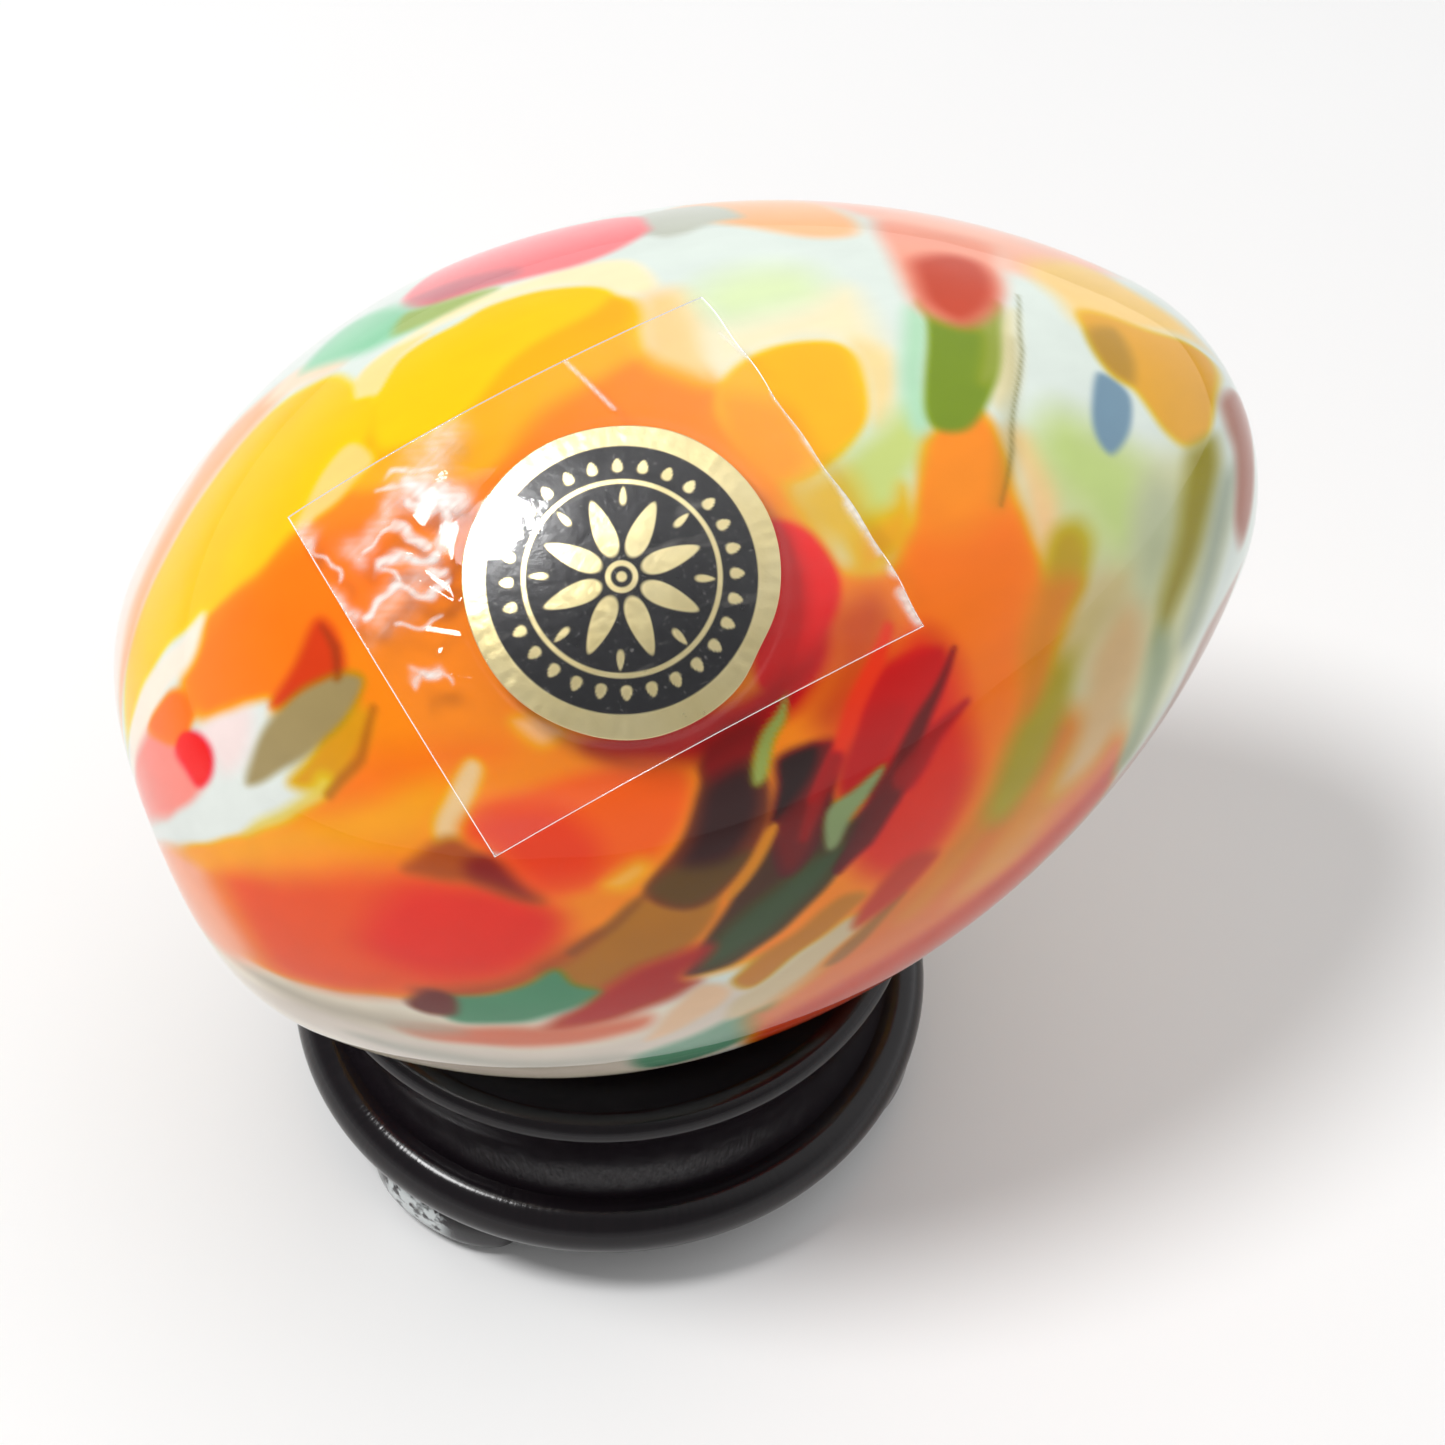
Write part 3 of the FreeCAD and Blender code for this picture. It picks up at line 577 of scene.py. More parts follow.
def depth_in_thread(x, y, points):
    """Distance inside a line whose points carry a half width, negative outside it."""
    deepest = np.full(x.shape, -1e9)
    for (ax, ay, a_half), (bx, by, b_half) in zip(points[:-1], points[1:]):
        run, rise = bx - ax, by - ay
        t = ((x - ax) * run + (y - ay) * rise) / (run * run + rise * rise)
        t = np.clip(t, 0, 1)
        gap = np.hypot(x - ax - t * run, y - ay - t * rise)
        deepest = np.maximum(deepest, a_half + (b_half - a_half) * t - gap)
    return deepest


def lay(rgb, chosen, depth, colour, opacity, softness):
    """Blends a colour over rgb where depth is positive."""
    cover = np.clip((depth + softness) / (2 * softness), 0, 1)
    cover = (cover * cover * (3 - 2 * cover) * opacity)[:, None]
    rgb[chosen] = rgb[chosen] * (1 - cover) + colour_of(colour) * cover


def paint_layer(points):
    """Linear colour of the chips at points of the colour layer, given in mm."""
    station, radius, angle = egg_coordinates(points)
    flat_end = station < -BASE_LENGTH + CASING + COLOUR + 0.01
    inward = BASE_FLAT - np.minimum(radius, BASE_FLAT)
    station = np.where(flat_end, station - FLAT_STRETCH * inward, station)
    angle = np.degrees(angle)
    near_end = 0.1
    low = -BASE_LENGTH + CASING + near_end
    high = NOSE_LENGTH - CASING - near_end
    radius = profile_radius(np.clip(station, low, high), CASING)
    y = radius * np.sin(np.radians(angle))
    z = radius * np.cos(np.radians(angle))
    wave_a = np.sin(0.55 * station + 0.8 * y + 0.3 * z + 1.0)
    wave_a += 0.5 * np.sin(1.3 * station - 0.9 * y + 1.1 * z + 2.2)
    wave_b = np.sin(0.7 * y - 0.5 * station + 0.6 * z + 0.4)
    wave_b += 0.5 * np.sin(1.4 * z + 1.2 * station - 0.8 * y + 0.9)
    station = station + EDGE_WAVE * wave_a
    angle = angle + np.degrees(EDGE_WAVE * wave_b / np.maximum(radius, 4))
    rgb = np.tile(colour_of(GROUND), (len(station), 1))
    for colour, opacity, softness, outline in [*BACK_CHIPS, *CHIPS]:
        outline = np.array(outline, float)
        scale = max(float(profile_radius(outline[:, 0].mean(), CASING)), 4) * math.pi / 180
        outline = rounded(outline)
        margin = 2 * softness + 0.5
        for turn in (-360, 0):
            low = outline.min(0) - [margin, margin / scale] + [0, turn]
            high = outline.max(0) + [margin, margin / scale] + [0, turn]
            near = (station > low[0]) & (station < high[0]) & (angle > low[1]) & (angle < high[1])
            chosen = np.where(near)[0]
            if len(chosen):
                shifted = (outline + [0, turn]) * [1, scale]
                depth = depth_inside(station[chosen], angle[chosen] * scale, shifted)
                lay(rgb, chosen, depth, colour, opacity, softness)
    for colour, opacity, softness, line in THREADS:
        line = np.array(line, float)
        scale = float(profile_radius(line[:, 0].mean(), CASING)) * math.pi / 180
        low, high = line.min(0) - 4, line.max(0) + 4
        near = (station > low[0]) & (station < high[0])
        near &= (angle > low[1] - 6) & (angle < high[1] + 6)
        chosen = np.where(near)[0]
        depth = depth_in_thread(station[chosen], angle[chosen] * scale, line * [1, scale, 1])
        lay(rgb, chosen, depth, colour, opacity, softness)
    rgb = np.where(rgb <= 0.04045, rgb / 12.92, ((rgb + 0.055) / 1.055) ** 2.4)
    return np.clip(rgb - GLOSS_HAZE, 0.002, 1)


def set_colours(piece, name, rgb):
    """Stores a colour for every point of a piece."""
    layer = piece.data.color_attributes.new(name, "FLOAT_COLOR", "POINT")
    values = np.ones((len(rgb), 4), np.float32)
    values[:, :3] = rgb
    layer.data.foreach_set("color", values.ravel())


def points_of(piece):
    """The piece's points in mm."""
    flat = np.zeros(len(piece.data.vertices) * 3, np.float32)
    piece.data.vertices.foreach_get("co", flat)
    return flat.reshape(-1, 3).astype(float) / MM


def back_chips():
    """Chips for the side of the egg that faces away, laid with the same twist and colours."""
    draw = np.random.default_rng(11)
    chips = []
    for count, colours, shortest, longest, slender, soft in (
        (44, WARM_COLOURS, 7.0, 11.0, 0.55, 1.6),
        (60, BACK_COLOURS, 4.0, 8.0, 0.42, 0.9),
        (70, BACK_COLOURS, 2.0, 4.5, 0.40, 0.5),
    ):
        for index in range(count):
            station = -28 + 66 * (index * 0.618034 + draw.uniform(0, 0.1)) % 66
            long = draw.uniform(shortest, longest)
            wide = long * slender * draw.uniform(0.7, 1.3)
            radius = max(float(profile_radius(station, CASING)), 9)
            reach_round = math.degrees(0.8 * long / radius)
            angle = 50 + reach_round + (176 - 2 * reach_round) * (index + 0.5) / count
            lean = math.radians(draw.uniform(15, 75))
            colour = colours[int(draw.integers(len(colours)))]
            outline = []
            for step in range(8):
                turn = math.tau * step / 8
                reach = draw.uniform(0.8, 1.15)
                x = long * reach * math.cos(turn)
                y = wide * reach * math.sin(turn) * (1.15 - 0.35 * math.cos(turn))
                along = x * math.cos(lean) - y * math.sin(lean)
                round_it = x * math.sin(lean) + y * math.cos(lean)
                outline.append((station + along, angle + math.degrees(round_it / radius)))
            chips.append((colour, draw.uniform(0.8, 1), soft * draw.uniform(0.6, 1.3), outline))
    return chips


EDGE_WAVE = 0.07
FLAT_STRETCH = 0.6
# The casing's reflections lighten every chip, so the chips are painted this much darker.
GLOSS_HAZE = 0.045
BACK_COLOURS = (
    "FF9200", "FF8600", "F4602A", "E84800", "FFB600", "FFCE00", "FFAA00", "F01018", "CA5542",
    "FFD292", "F7EBC4", "CCDA86", "B6E0BE", "96D6AE", "80982A", "B4A440", "5E9674", "7C3C14",
    "FFC28E", "F9A68E", "E1EBE3", "FFE6D6", "7E9CB0", "BA7C04", "FFBC00", "FF7E00",
)
WARM_COLOURS = ("FF9200", "FF8600", "F4602A", "FFCE00", "FFAA00", "FFB600", "FFD292", "F7EBC4")
BACK_CHIPS = back_chips()

# ---------------------------------------------------------------- glass pieces
core_depth = CASING + COLOUR
casing = glass_shell("casing_glass", 0.0, CASING + 0.06, 0.5, 320)
layer = glass_shell("colour_glass", CASING, core_depth - 0.02, LAYER_STEP, LAYER_COLUMNS)
set_colours(layer, "chips", paint_layer(points_of(layer)))

# ---------------------------------------------------------------- label and tape
LABEL_STATION = 0.7
LABEL_TURN = math.radians(-29)
LABEL_RADIUS = 9.2
LABEL_FACE = 7.8
LABEL_TOP, LABEL_UNDER = 0.125, 0.02
label_up = math.cos(LABEL_TURN) * ABOVE + math.sin(LABEL_TURN) * ASIDE
label_across = math.cos(LABEL_TURN) * ASIDE - math.sin(LABEL_TURN) * ABOVE
label_centre = egg_point(
    np.array(LABEL_STATION), profile_radius(LABEL_STATION), np.array(LABEL_TURN)
)


def on_egg(u, v, lift):
    """Points over the egg at label coordinates u to the nose and v across, lift mm above it."""
    start = label_centre + u[..., None] * ALONG + v[..., None] * label_across
    low, high = np.full(u.shape, -12.0), np.full(u.shape, 3.0)
    for _ in range(36):
        middle = (low + high) / 2
        station, radius, _ = egg_coordinates(start + middle[..., None] * label_up)
        outside = radius > profile_radius(station, -lift)
        low = np.where(outside, low, middle)
        high = np.where(outside, middle, high)
    return start + high[..., None] * label_up


def smooth_step(x):
    """A smooth ramp from 0 to 1 as x goes from 0 to 1."""
    x = np.clip(x, 0, 1)
    return x * x * (3 - 2 * x)


def label_edge(turn):
    """Radius of the label's cut edge, with its slightly uneven punch."""
    edge = LABEL_RADIUS - 0.06 + 0.05 * np.sin(3 * turn + 0.6) + 0.03 * np.sin(7 * turn + 2)
    return edge - 0.3 * np.exp(-((turn + 0.85) / 0.22) ** 2)


def make_label(rings=150, columns=420):
    """The foil seal: a thin disc that follows the glass, with a creased gold border."""
    turn = np.linspace(-math.pi, math.pi, columns, endpoint=False)[None]
    share = (np.arange(1, rings + 1) / rings)[:, None]
    reach = share * label_edge(turn)
    u, v = reach * np.cos(turn), reach * np.sin(turn)
    creases = 0.5 * np.sin(61 * turn + 1.5 * np.sin(5 * turn)) + 0.5 * np.sin(23 * turn + 0.7)
    border = smooth_step((reach - 7.6) / 0.9)
    rise = 0.012 * creases * border + 0.01 * np.sin(1.3 * u + 0.6) * np.sin(1.1 * v)
    top = on_egg(u, v, LABEL_TOP + rise)
    under = on_egg(u, v, np.full(u.shape, LABEL_UNDER))
    middle = np.zeros(1)
    centre_top = on_egg(middle, middle, middle + LABEL_TOP)
    centre_under = on_egg(middle, middle, middle + LABEL_UNDER)
    count = rings * columns
    points = [top.reshape(-1, 3), under.reshape(-1, 3), centre_top, centre_under]
    faces = ring_faces(0, rings, columns, True) + ring_faces(count, rings, columns)
    first = np.arange(columns)
    faces += fan_faces(2 * count, first) + fan_faces(2 * count + 1, count + first, True)
    edge_top, edge_under = count - columns + first, 2 * count - columns + first
    side = np.stack([edge_top, edge_under, np.roll(edge_under, -1), np.roll(edge_top, -1)], -1)
    piece = new_object("seal_foil", np.concatenate(points), faces + side.tolist())
    flat_u = np.concatenate([u.ravel(), u.ravel(), middle, middle])
    flat_v = np.concatenate([v.ravel(), v.ravel(), middle, middle])
    on_top = np.concatenate([np.ones(count), np.zeros(count), [1.0, 0.0]])
    return piece, flat_u, flat_v, on_top


def shape_cover(depth, blur=0.05):
    """1 where depth is positive and 0 outside, with a blurred edge."""
    return smooth_step((depth + blur) / (2 * blur))


def emblem_cover(u, v):
    """Where the plain rosette and its ring of beads are printed in gold."""
    reach, turn = np.hypot(u, v), np.arctan2(v, u)
    cover = shape_cover(reach - LABEL_FACE)
    for count, middle, long, wide, offset in (
        (8, 3.0, 1.75, 0.62, 0.0),
        (8, 4.75, 0.55, 0.2, 0.5),
        (28, 6.6, 0.42, 0.3, 0.5),
    ):
        pitch = math.tau / count
        slot = (turn / pitch + offset + 0.5) % 1 - 0.5
        x, y = reach * np.cos(slot * pitch) - middle, reach * np.sin(slot * pitch)
        petal = 1 - np.hypot(x / long, y / (wide * (1 - 0.35 * x / long)))
        cover = np.maximum(cover, shape_cover(petal * wide))
    cover = np.maximum(cover, shape_cover(0.14 - np.abs(reach - 5.62)))
    cover = np.maximum(cover, shape_cover(0.16 - np.abs(reach - 0.78)))
    return np.maximum(cover, shape_cover(0.3 - reach))


label, label_u, label_v, label_top = make_label()
print_cover = np.where(label_top > 0.5, emblem_cover(label_u, label_v), 1.0)
set_colours(label, "print", np.repeat(print_cover[:, None], 3, 1))

TAPE_CORNERS = np.array([[-16.8, 11.7], [10.8, 14.9], [-12.7, -11.8], [15.5, -8.6]])
# Folds and lifted ridges of the film: start u, v, end u, v, height, half width, in mm.
TAPE_FOLDS = (
    (-14.3, 7.4, -9.4, 10.3, 0.09, 0.55),
    (-15.0, 5.3, -11.2, 6.3, 0.09, 0.50),
    (-11.2, 6.3, -9.2, 5.2, 0.16, 0.40),
    (-14.4, 2.9, -10.8, 4.3, 0.18, 0.35),
    (-10.8, 4.3, -9.4, 2.2, 0.14, 0.35),
    (-11.6, 1.4, -9.5, 0.1, 0.10, 0.30),
    (-9.8, 8.4, -6.2, 11.6, 0.16, 0.80),
    (-12.9, -0.4, -11.4, -0.2, 0.14, 0.45),
    (-11.2, -1.6, -10.0, -2.4, 0.10, 0.30),
    (1.5, 14.6, 3.4, 9.4, 0.05, 0.12),
    (11.6, 10.6, 12.5, 6.3, 0.05, 0.20),
    (12.5, 6.3, 13.4, 2.5, 0.09, 0.25),
    (13.4, 2.5, 14.4, -2.3, 0.11, 0.28),
    (14.4, -2.3, 15.2, -8.4, 0.09, 0.25),
    (9.0, -3.4, 10.2, 0.8, 0.03, 0.60),
)


def ridge_height(u, v, ridge):
    """Height of one fold of the film."""
    ax, ay, bx, by, height, half = ridge
    run, rise = bx - ax, by - ay
    t = np.clip(((u - ax) * run + (v - ay) * rise) / (run * run + rise * rise), 0, 1)
    gap = np.hypot(u - ax - t * run, v - ay - t * rise)
    return height * np.exp(-(gap / half) ** 2)


def make_tape(rows=190, columns=220):
    """The clear film over the seal: a closed thin sheet that steps down round the seal."""
    s = np.linspace(0, 1, columns)[None, :]
    t = np.linspace(0, 1, rows)[:, None]
    a, b, c, d = TAPE_CORNERS
    flat = (
        ((1 - s) * (1 - t))[..., None] * a
        + (s * (1 - t))[..., None] * b
        + ((1 - s) * t)[..., None] * c
        + (s * t)[..., None] * d
    )
    u = flat[..., 0] + 0.10 * np.sin(9 * t + 1) * (s ** 8) + 0.06 * np.sin(31 * t) * (s ** 12)
    v = flat[..., 1] + 0 * s
    reach = np.hypot(u, v)
    lift = 0.02 + 0.135 * smooth_step((9.75 - reach) / 0.5)
    for fold in TAPE_FOLDS:
        lift = lift + ridge_height(u, v, fold)
    lift = lift + 0.012 * (1 + np.sin(1.9 * u + 0.8 * v) * np.sin(2.3 * v - 0.5 * u))
    lift = lift * (1 + 0 * s)
    to_edge = np.minimum(np.minimum(s, 1 - s), np.minimum(t, 1 - t))
    thickness = 0.012 + 0.038 * smooth_step(to_edge / 0.03)
    top, under = on_egg(u, v, lift + thickness), on_egg(u, v, lift)
    count = rows * columns
    faces = sheet_faces(rows, columns, True)
    faces += [[i + count for i in f] for f in sheet_faces(rows, columns)]
    grid = np.arange(count).reshape(rows, columns)
    loop = np.concatenate([grid[0, :-1], grid[:-1, -1], grid[-1, :0:-1], grid[:0:-1, 0]])
    after = np.roll(loop, -1)
    faces += np.stack([loop, loop + count, after + count, after], -1).tolist()
    points = np.concatenate([top.reshape(-1, 3), under.reshape(-1, 3)])
    film = new_object("tape_film", points, faces)
    rounded_faces = np.arange(len(faces)) < len(faces) - len(loop)
    film.data.polygons.foreach_set("use_smooth", rounded_faces)
    return film, np.tile(u.ravel(), 2), np.tile(v.ravel(), 2)


# Cloudy glue and lifted spots, and painted glare: the pale streaks left of the seal stand for the light's
# reflection in the film's wrinkles. Start u, v, end u, v, strength, half width, in mm.
TAPE_GLUE_AND_GLARE = (
    (12.3, 7.2, 13.0, 4.0, 0.7, 0.16),
    (13.0, 4.0, 14.0, -0.6, 0.8, 0.22),
    (14.0, -0.6, 14.7, -3.6, 0.9, 0.36),
    (15.0, -5.0, 15.3, -5.2, 0.9, 0.38),
    (14.8, -6.4, 15.2, -8.2, 0.8, 0.30),
    (1.6, 14.2, 3.3, 9.6, 0.45, 0.10),
    (10.9, 12.0, 12.0, 9.4, 0.35, 0.10),
    (-16.3, 10.7, -15.9, 9.4, 0.45, 0.45),
    (-15.7, 5.2, -15.4, 4.5, 0.55, 0.55),
    (-9.2, 9.6, -6.5, 12.2, 0.30, 1.10),
    (-13.6, 7.6, -9.6, 9.6, 0.30, 0.70),
    (-13.8, 3.1, -9.6, 5.4, 0.22, 0.90),
    (-8.9, 9.9, -7.3, 7.9, 1.1, 0.75),
    (-7.9, 8.3, -8.6, 5.6, 0.80, 0.40),
    (-10.2, 11.0, -7.6, 10.6, 0.60, 0.20),
    (-10.9, 10.6, -8.6, 9.2, 0.55, 0.14),
    (-13.1, 7.6, -11.2, 7.9, 0.65, 0.16),
    (-11.2, 7.9, -9.2, 6.2, 0.75, 0.22),
    (-12.8, 6.2, -9.2, 5.4, 0.95, 0.34),
    (-12.9, 5.9, -12.0, 4.6, 0.60, 0.18),
    (-14.6, 3.9, -12.0, 4.3, 0.9, 0.28),
    (-12.0, 4.3, -9.7, 3.4, 0.85, 0.24),
    (-13.2, 2.2, -10.4, 2.0, 0.50, 0.12),
    (-13.6, -0.9, -12.6, -0.4, 0.55, 0.16),
    (-12.6, -0.4, -11.5, -1.0, 0.9, 0.30),
    (-16.0, 9.2, -15.2, 6.4, 0.5, 0.12),
    (-9.6, 8.9, -8.6, 8.3, 0.9, 0.45),
    (-10.3, 5.0, -9.6, 4.2, 0.8, 0.30),
    (-11.5, -1.0, -11.3, -2.2, 0.50, 0.12),
    (-12.7, -11.6, -12.4, -11.4, 0.35, 0.25),
)


def glue_and_glare_cover(u, v):
    """Strength of the cloudy glue patches and the painted glare streaks at points of the film."""
    cover = np.zeros(u.shape)
    sway = smooth_step((-6 - u) / 3)
    bent_u = u + sway * (0.30 * np.sin(1.7 * v + 0.9 * u) + 0.10 * np.sin(4.3 * v - 2.1 * u))
    bent_v = v + sway * (0.34 * np.sin(1.5 * u - 0.6 * v + 1) + 0.10 * np.sin(3.9 * u + 1.7 * v))
    for cloud in TAPE_GLUE_AND_GLARE:
        cover = np.maximum(cover, ridge_height(bent_u, bent_v, cloud))
    grain = 0.75 + 0.25 * np.sin(5.1 * u + 2.3 * np.sin(3.7 * v)) * np.sin(6.3 * v + 1.1)
    return np.clip(cover * grain, 0, 1)


tape, tape_u, tape_v = make_tape()
set_colours(tape, "cloud", np.repeat(glue_and_glare_cover(tape_u, tape_v)[:, None], 3, 1))

for piece, node, slot in (
    (casing, "clear_casing", "clear_glass"),
    (layer, "colour_layer", "coloured_glass"),
    (label, "foil_label", "label_foil"),
    (tape, "clear_tape", "tape_film"),
):
    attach(piece, "egg")
    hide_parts(node)

# ---------------------------------------------------------------- carved feet
FOOT_MIDDLE, FOOT_HALF_DEEP = 20.2, 2.85
FOOT_HALF_LONG = 6.5
FOOT_HALF_TALL = 2.62
# The painted glare, a pale patch painted on the foot's outer face for the lacquer's reflection of the
# light:
# how far out from the foot's middle it starts, its place and half length along the foot, and its lowest
# and highest edge.
GLARE_PATCH_FROM = 1.6
GLARE_PATCH_MIDDLE, GLARE_PATCH_HALF_LONG = -1.2, 4
GLARE_PATCH_LOW, GLARE_PATCH_HIGH = 0.9, 5.0


def bent_power(value, power):
    """value to a power, keeping its sign."""
    return np.sign(value) * np.abs(value) ** power


def make_foot(node, painted_glare_share, steps=48, columns=64):
    """A carved foot: a rounded pad bent round the stand's axis, with a pale glare patch painted on its
    outer face.
    """
    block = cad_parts[node]
    middle = points_of(block).mean(0)
    heading = math.atan2(middle[1], middle[0])
    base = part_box(node)[0].z / MM
    t = -np.cos(np.linspace(0, math.pi, steps + 2))[1:-1, None]
    turn = np.linspace(0, math.tau, columns, endpoint=False)[None]
    plan = (1 - np.abs(t) ** 2.4) ** (1 / 2.2)
    tall = (1 - np.abs(t) ** 4) ** (1 / 3)
    radius = FOOT_MIDDLE + FOOT_HALF_DEEP * plan * bent_power(np.cos(turn), 0.72)
    height = base + FOOT_HALF_TALL * (1 + tall * bent_power(np.sin(turn), 0.62))
    angle = heading + t * FOOT_HALF_LONG / FOOT_MIDDLE + 0 * turn
    rows = np.stack([radius * np.cos(angle), radius * np.sin(angle), height + 0 * angle], -1)
    ends = [rows[0].mean(0)[None], rows[-1].mean(0)[None]]
    count = steps * columns
    faces = ring_faces(0, steps, columns, True)
    faces += fan_faces(count, np.arange(columns), False)
    faces += fan_faces(count + 1, count - columns + np.arange(columns), True)
    foot = new_object(node + "_carved", np.concatenate([rows.reshape(-1, 3)] + ends), faces)
    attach(foot, "stand")
    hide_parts(node)
    outward_way = np.array([math.cos(heading), math.sin(heading), 0])
    sideways_way = np.array([-math.sin(heading), math.cos(heading), 0])
    across = rows.reshape(-1, 3) - FOOT_MIDDLE * outward_way - [0, 0, base]
    outward, sideways = across @ outward_way, across @ sideways_way
    # A pale patch painted on the outer face for the lacquer's reflection of the light.
    worn = painted_glare_share * smooth_step(outward - GLARE_PATCH_FROM)
    worn = worn * smooth_step((1 - np.abs(sideways - GLARE_PATCH_MIDDLE) / GLARE_PATCH_HALF_LONG) / 0.4)
    worn = worn * smooth_step((across[:, 2] - GLARE_PATCH_LOW) / 1.2)
    worn = worn * smooth_step((GLARE_PATCH_HIGH - across[:, 2]) / 0.8)
    set_colours(foot, "worn", np.repeat(np.append(worn, [0, 0])[:, None], 3, 1))
    return foot


feet = [make_foot("foot_1", 1.0), make_foot("foot_2", 0.0), make_foot("foot_3", 0.0)]

# ---------------------------------------------------------------- materials


def new_material(name):
    """A node material with only its output, the tree and a function that adds nodes."""
    material = bpy.data.materials.new(name)
    material.use_nodes = True
    tree = material.node_tree
    tree.nodes.clear()
    output = tree.nodes.new("ShaderNodeOutputMaterial")

    def add(kind, settings=None, **inputs):
        node = tree.nodes.new("ShaderNode" + kind)
        for key, value in (settings or {}).items():
            setattr(node, key, value)
        for key, value in inputs.items():
            socket = node.inputs[int(key[1:])] if key[0] == "_" else node.inputs[key.replace("_", " ")]
            if isinstance(value, bpy.types.NodeSocket):
                tree.links.new(value, socket)
            else:
                socket.default_value = value
        return node

    return material, output, add, tree


def attribute(add, name):
    """The factor and colour of a stored colour."""
    node = add("Attribute", {"attribute_name": name})
    return node.outputs["Fac"], node.outputs["Color"]


def stretched_noise(add, scale, stretch, detail=4.0, turn=(0, 0, 0)):
    """Noise in the object's own space, in mm, stretched along chosen axes."""
    place = add("TexCoord").outputs["Object"]
    mapped = add("Mapping", Vector=place, Scale=[1000 * s for s in stretch], Rotation=turn)
    noise = add("TexNoise", Vector=mapped.outputs[0], Scale=scale, Detail=detail)
    return noise.outputs["Fac"]


def ramp(add, value, low, high):
    """Maps 0..1 to low..high."""
    node = add("MapRange", Value=value, To_Min=low, To_Max=high)
    return node.outputs[0]


def mix_colours(add, factor, first, second):
    """Mixes two colours, each a fixed colour or a node's output."""
    node = add("Mix", {"data_type": "RGBA"}, Factor=factor)
    for place, colour in ((6, first), (7, second)):
        if isinstance(colour, tuple):
            node.inputs[place].default_value = (*colour, 1)
        else:
            node.id_data.links.new(colour, node.inputs[place])
    return node.outputs[2]


def only(piece, material):
    """Gives a piece this one material."""
    piece.data.materials.clear()
    piece.data.materials.append(material)


def let_lamps_through(add, shader):
    """Swaps a clear shader for plain transparency on the way to lamps and soft light."""
    path = add("LightPath")
    either = add(
        "Math", {"operation": "MAXIMUM"},
        _0=path.outputs["Is Shadow Ray"], _1=path.outputs["Is Diffuse Ray"],
    )
    clear = add("BsdfTransparent")
    mixed = add("MixShader", _0=either.outputs[0], _1=shader, _2=clear.outputs[0])
    return mixed.outputs[0]


def casing_material():
    material, output, add, tree = new_material("clear_casing_glass")
    ripple = stretched_noise(add, 0.09, (1, 1, 1), 2.0)
    seeds = stretched_noise(add, 1.4, (1, 1, 1), 1.0)
    height = add("Math", {"operation": "MULTIPLY_ADD"}, _0=seeds, _1=0.01, _2=ripple)
    bump = add("Bump", Height=height.outputs[0], Strength=0.12, Distance=0.0006)
    glass = add(
        "BsdfPrincipled", Base_Color=(1, 1, 1, 1), Roughness=0.0, IOR=1.45,
        Transmission_Weight=1.0, Normal=bump.outputs[0],
    )
    glass.inputs["Specular IOR Level"].default_value = 0.35
    tree.links.new(let_lamps_through(add, glass.outputs[0]), output.inputs[0])
    return material


def layer_material():
    material, output, add, tree = new_material("coloured_chip_glass")
    _, chips = attribute(add, "chips")
    streaks = stretched_noise(add, 0.5, (0.35, 1.0, 1.0), 5.0, (0.0, 0.5, 0.7))
    clouds = stretched_noise(add, 0.16, (1, 1, 1), 3.0)
    streaked, clouded = ramp(add, streaks, 0.93, 1.07), ramp(add, clouds, 0.95, 1.05)
    tone = add("Math", {"operation": "MULTIPLY"}, _0=streaked, _1=clouded)
    shaded = add("HueSaturation", Saturation=1.0, Value=tone.outputs[0], Color=chips)
    grain = stretched_noise(add, 1.2, (1, 1, 1), 2.0)
    glass = add(
        "BsdfPrincipled", Base_Color=shaded.outputs[0], Roughness=ramp(add, grain, 0.35, 0.55),
    )
    glass.inputs["Specular IOR Level"].default_value = 0.0
    tree.links.new(glass.outputs[0], output.inputs[0])
    return material


def core_material():
    material, output, add, tree = new_material("opal_core_glass")
    clouds = stretched_noise(add, 0.12, (1, 1, 1), 4.0)
    tint = mix_colours(add, clouds, (0.80, 0.86, 0.82), (0.90, 0.93, 0.90))
    fine = stretched_noise(add, 0.9, (1, 1, 1), 2.0)
    glass = add("BsdfPrincipled", Base_Color=tint, Roughness=ramp(add, fine, 0.15, 0.3))
    tree.links.new(glass.outputs[0], output.inputs[0])
    return material


def foil_material():
    material, output, add, tree = new_material("seal_gold_and_black")
    gold_cover, _ = attribute(add, "print")
    wash = stretched_noise(add, 0.35, (1, 1, 1), 4.0)
    gold = mix_colours(add, wash, (0.80, 0.66, 0.30), (0.90, 0.79, 0.47))
    dots = stretched_noise(add, 3.5, (1, 1, 1), 6.0)
    specks = add("MapRange", Value=dots, From_Min=0.62, From_Max=0.74)
    strokes = stretched_noise(add, 0.8, (0.25, 1.0, 0.6), 6.0, (0.3, 0.2, 0.9))
    scuffs = add("MapRange", Value=strokes, From_Min=0.60, From_Max=0.78)
    worn = add("Math", {"operation": "MAXIMUM"}, _0=specks.outputs[0], _1=scuffs.outputs[0])
    ink = mix_colours(add, worn.outputs[0], (0.004, 0.004, 0.006), (0.12, 0.115, 0.11))
    face = mix_colours(add, gold_cover, ink, gold)
    crinkle = stretched_noise(add, 1.6, (1, 1, 1), 5.0)
    bump = add("Bump", Height=crinkle, Strength=0.35, Distance=0.00008)
    foil = add(
        "BsdfPrincipled", Base_Color=face, Metallic=ramp(add, gold_cover, 0.0, 0.85),
        Roughness=ramp(add, crinkle, 0.22, 0.42), Normal=bump.outputs[0],
    )
    tree.links.new(foil.outputs[0], output.inputs[0])
    return material


